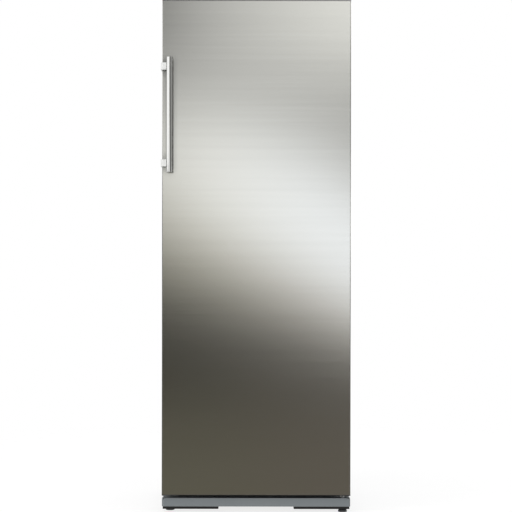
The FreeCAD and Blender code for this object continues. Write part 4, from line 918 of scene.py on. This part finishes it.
def doorLiner():
    # vacuum-formed sheet: flat flange, then a pad that rises by (1 - cos pi t) / 2 over its draft,
    # with a shallow channel, sin^2 pi t deep, 46 mm inside the pad's foot
    d = innerDoor
    half, low, high = d["padHalf"], d["padLow"], d["padHigh"]
    rows = [(d["half"], d["low"], d["high"], d["rimCorner"], level) for level in (d["back"], d["flange"])]
    for t in np.linspace(0, 1, 9):
        inset = d["draft"] * t
        level = d["flange"] + d["pad"] * (1 - math.cos(math.pi * t)) / 2
        rows.append((half - inset, low + inset, high - inset, d["corner"] - inset, level))
    for t in np.linspace(0, 1, 9):
        inset = d["channelIn"] + d["channelWide"] * t
        level = d["flange"] + d["pad"] - d["channel"] * math.sin(math.pi * t) ** 2
        rows.append((half - inset, low + inset, high - inset, d["channelWide"], level))
    return piece("doorLiner", [frameRings(rows)], slotOf["door_liner"], "door", ["door_liner"], sharp=60)


doorSeal()
doorLiner()
print("door's inside made")


drawer = {"half": 0.222, "back": -0.198, "front": -0.201, "corner": 0.006, "round": 0.0012,
          "field": [(0.007, 0.0), (0.0078, 0.00018), (0.0086, 0.0005), (0.0094, 0.0006)],   # inset, depth
          "grip": -0.212, "gripHalf": 0.12, "gripFall": 0.014, "gripThick": 0.004}


def drawerFront(number):
    # moulded front: rounded rim, a field set back 0.6 mm inside it, and a grip bent forward and down
    d = drawer
    node = "drawer_front_%d" % number
    low, high = nodeBox(node)[:, 2]
    rim, root = d["round"], d["front"] + d["round"]
    rows = [(d["half"] - 0.001, low + 0.001, high - 0.001, 0.005, d["back"]),
            (d["half"], low, high, d["corner"], d["back"] - 0.0008),
            (d["half"], low, high, d["corner"], root)]
    for t in np.linspace(0, math.pi / 2, 5):
        inset = rim * (1 - math.cos(t))
        level = d["front"] + rim * (1 - math.sin(t))
        rows.append((d["half"] - inset, low + inset, high - inset, d["corner"], level))
    for inset, depth in d["field"]:
        rows.append((d["half"] - inset, low + inset, high - inset, 0.004, d["front"] + depth))
    lip, face, back = high - 0.014, d["grip"], d["grip"] + d["gripThick"]
    section = [(root, lip + 0.004), (back, lip + 0.004), (back, lip - d["gripFall"]),
               (face, lip - d["gripFall"]), (face, lip + 0.008), (root, lip + 0.012)]
    outline = roundedRoute(section, [0.0003, 0.003, 0.0018, 0.0018, 0.005, 0.0003], 5, closed=True)
    grip = plateRings(outline, -d["gripHalf"], d["gripHalf"], rim, "yz")
    return piece("drawerFront%d" % number, [frameRings(rows), grip], slotOf[node], "drawer_%d" % number,
                 [node], sharp=50)


for number in (1, 2, 3, 4):
    drawerFront(number)


knob = {"x": -0.06, "z": 1.599, "radius": 0.0085, "stem": 0.003, "skirt": 0.0065, "face": 0.0032,
        "draft": 0.0003, "edge": 0.0006, "ribHalf": 0.0016, "ribLong": 0.0082, "ribDeep": 0.0036,
        "ribCorner": 0.0012, "ribEdge": 0.0005}


def thermostatKnob():
    # round knob, an outline turned about y, with a finger rib across its face
    k = knob
    x, z, r = k["x"], k["z"], k["radius"]
    front, back = nodeBox("thermostat_knob")[:, 1]
    section = [(tip, back), (k["stem"], back), (k["stem"], front + k["skirt"]), (r, front + k["skirt"]),
               (r - k["draft"], front + k["face"]), (tip, front + k["face"])]
    body = turnedRings(roundedRoute(section, k["edge"], 3), (x, 0, z), "y", 48)
    box = [(x + i * k["ribHalf"], z + j * k["ribLong"]) for i, j in around]
    outline = roundedRoute(box, k["ribCorner"], 4, closed=True)
    rib = plateRings(outline, front, front + k["ribDeep"], k["ribEdge"], "xz")
    return piece("thermostatKnob", [body, rib], slotOf["thermostat_knob"], "thermostat_knob",
                 ["thermostat_knob"])


button = {"edge": 0.0009}


def freezeButton():
    # small key, a box with soft edges
    rings = softBox(*nodeBox("freeze_button"), button["edge"], "xz")
    return piece("freezeButton", [rings], slotOf["freeze_button"], "freeze_button", ["freeze_button"])


lens = {"xs": (0.07, 0.09, 0.11), "radius": 0.002, "crown": 0.0006}


def indicatorLenses():
    # three domed light guides: radius sin a at a depth of crown (1 - sin^2 a), turned about y
    low, high = nodeBox("indicator_lenses")
    a = np.linspace(0.05, math.pi / 2, 7)
    dome = np.stack([lens["radius"] * np.sin(a), low[1] + lens["crown"] * (1 - np.sin(a) ** 2)], axis=1)
    profile = np.concatenate([dome, [(lens["radius"], high[1])]])
    shapes = [turnedRings(profile, (x, 0, (low[2] + high[2]) / 2), "y", 24) for x in lens["xs"]]
    return piece("indicatorLenses", shapes, slotOf["indicator_lenses"], "cabinet", ["indicator_lenses"])


thermostatKnob()
freezeButton()
indicatorLenses()
print("drawers and controls made")
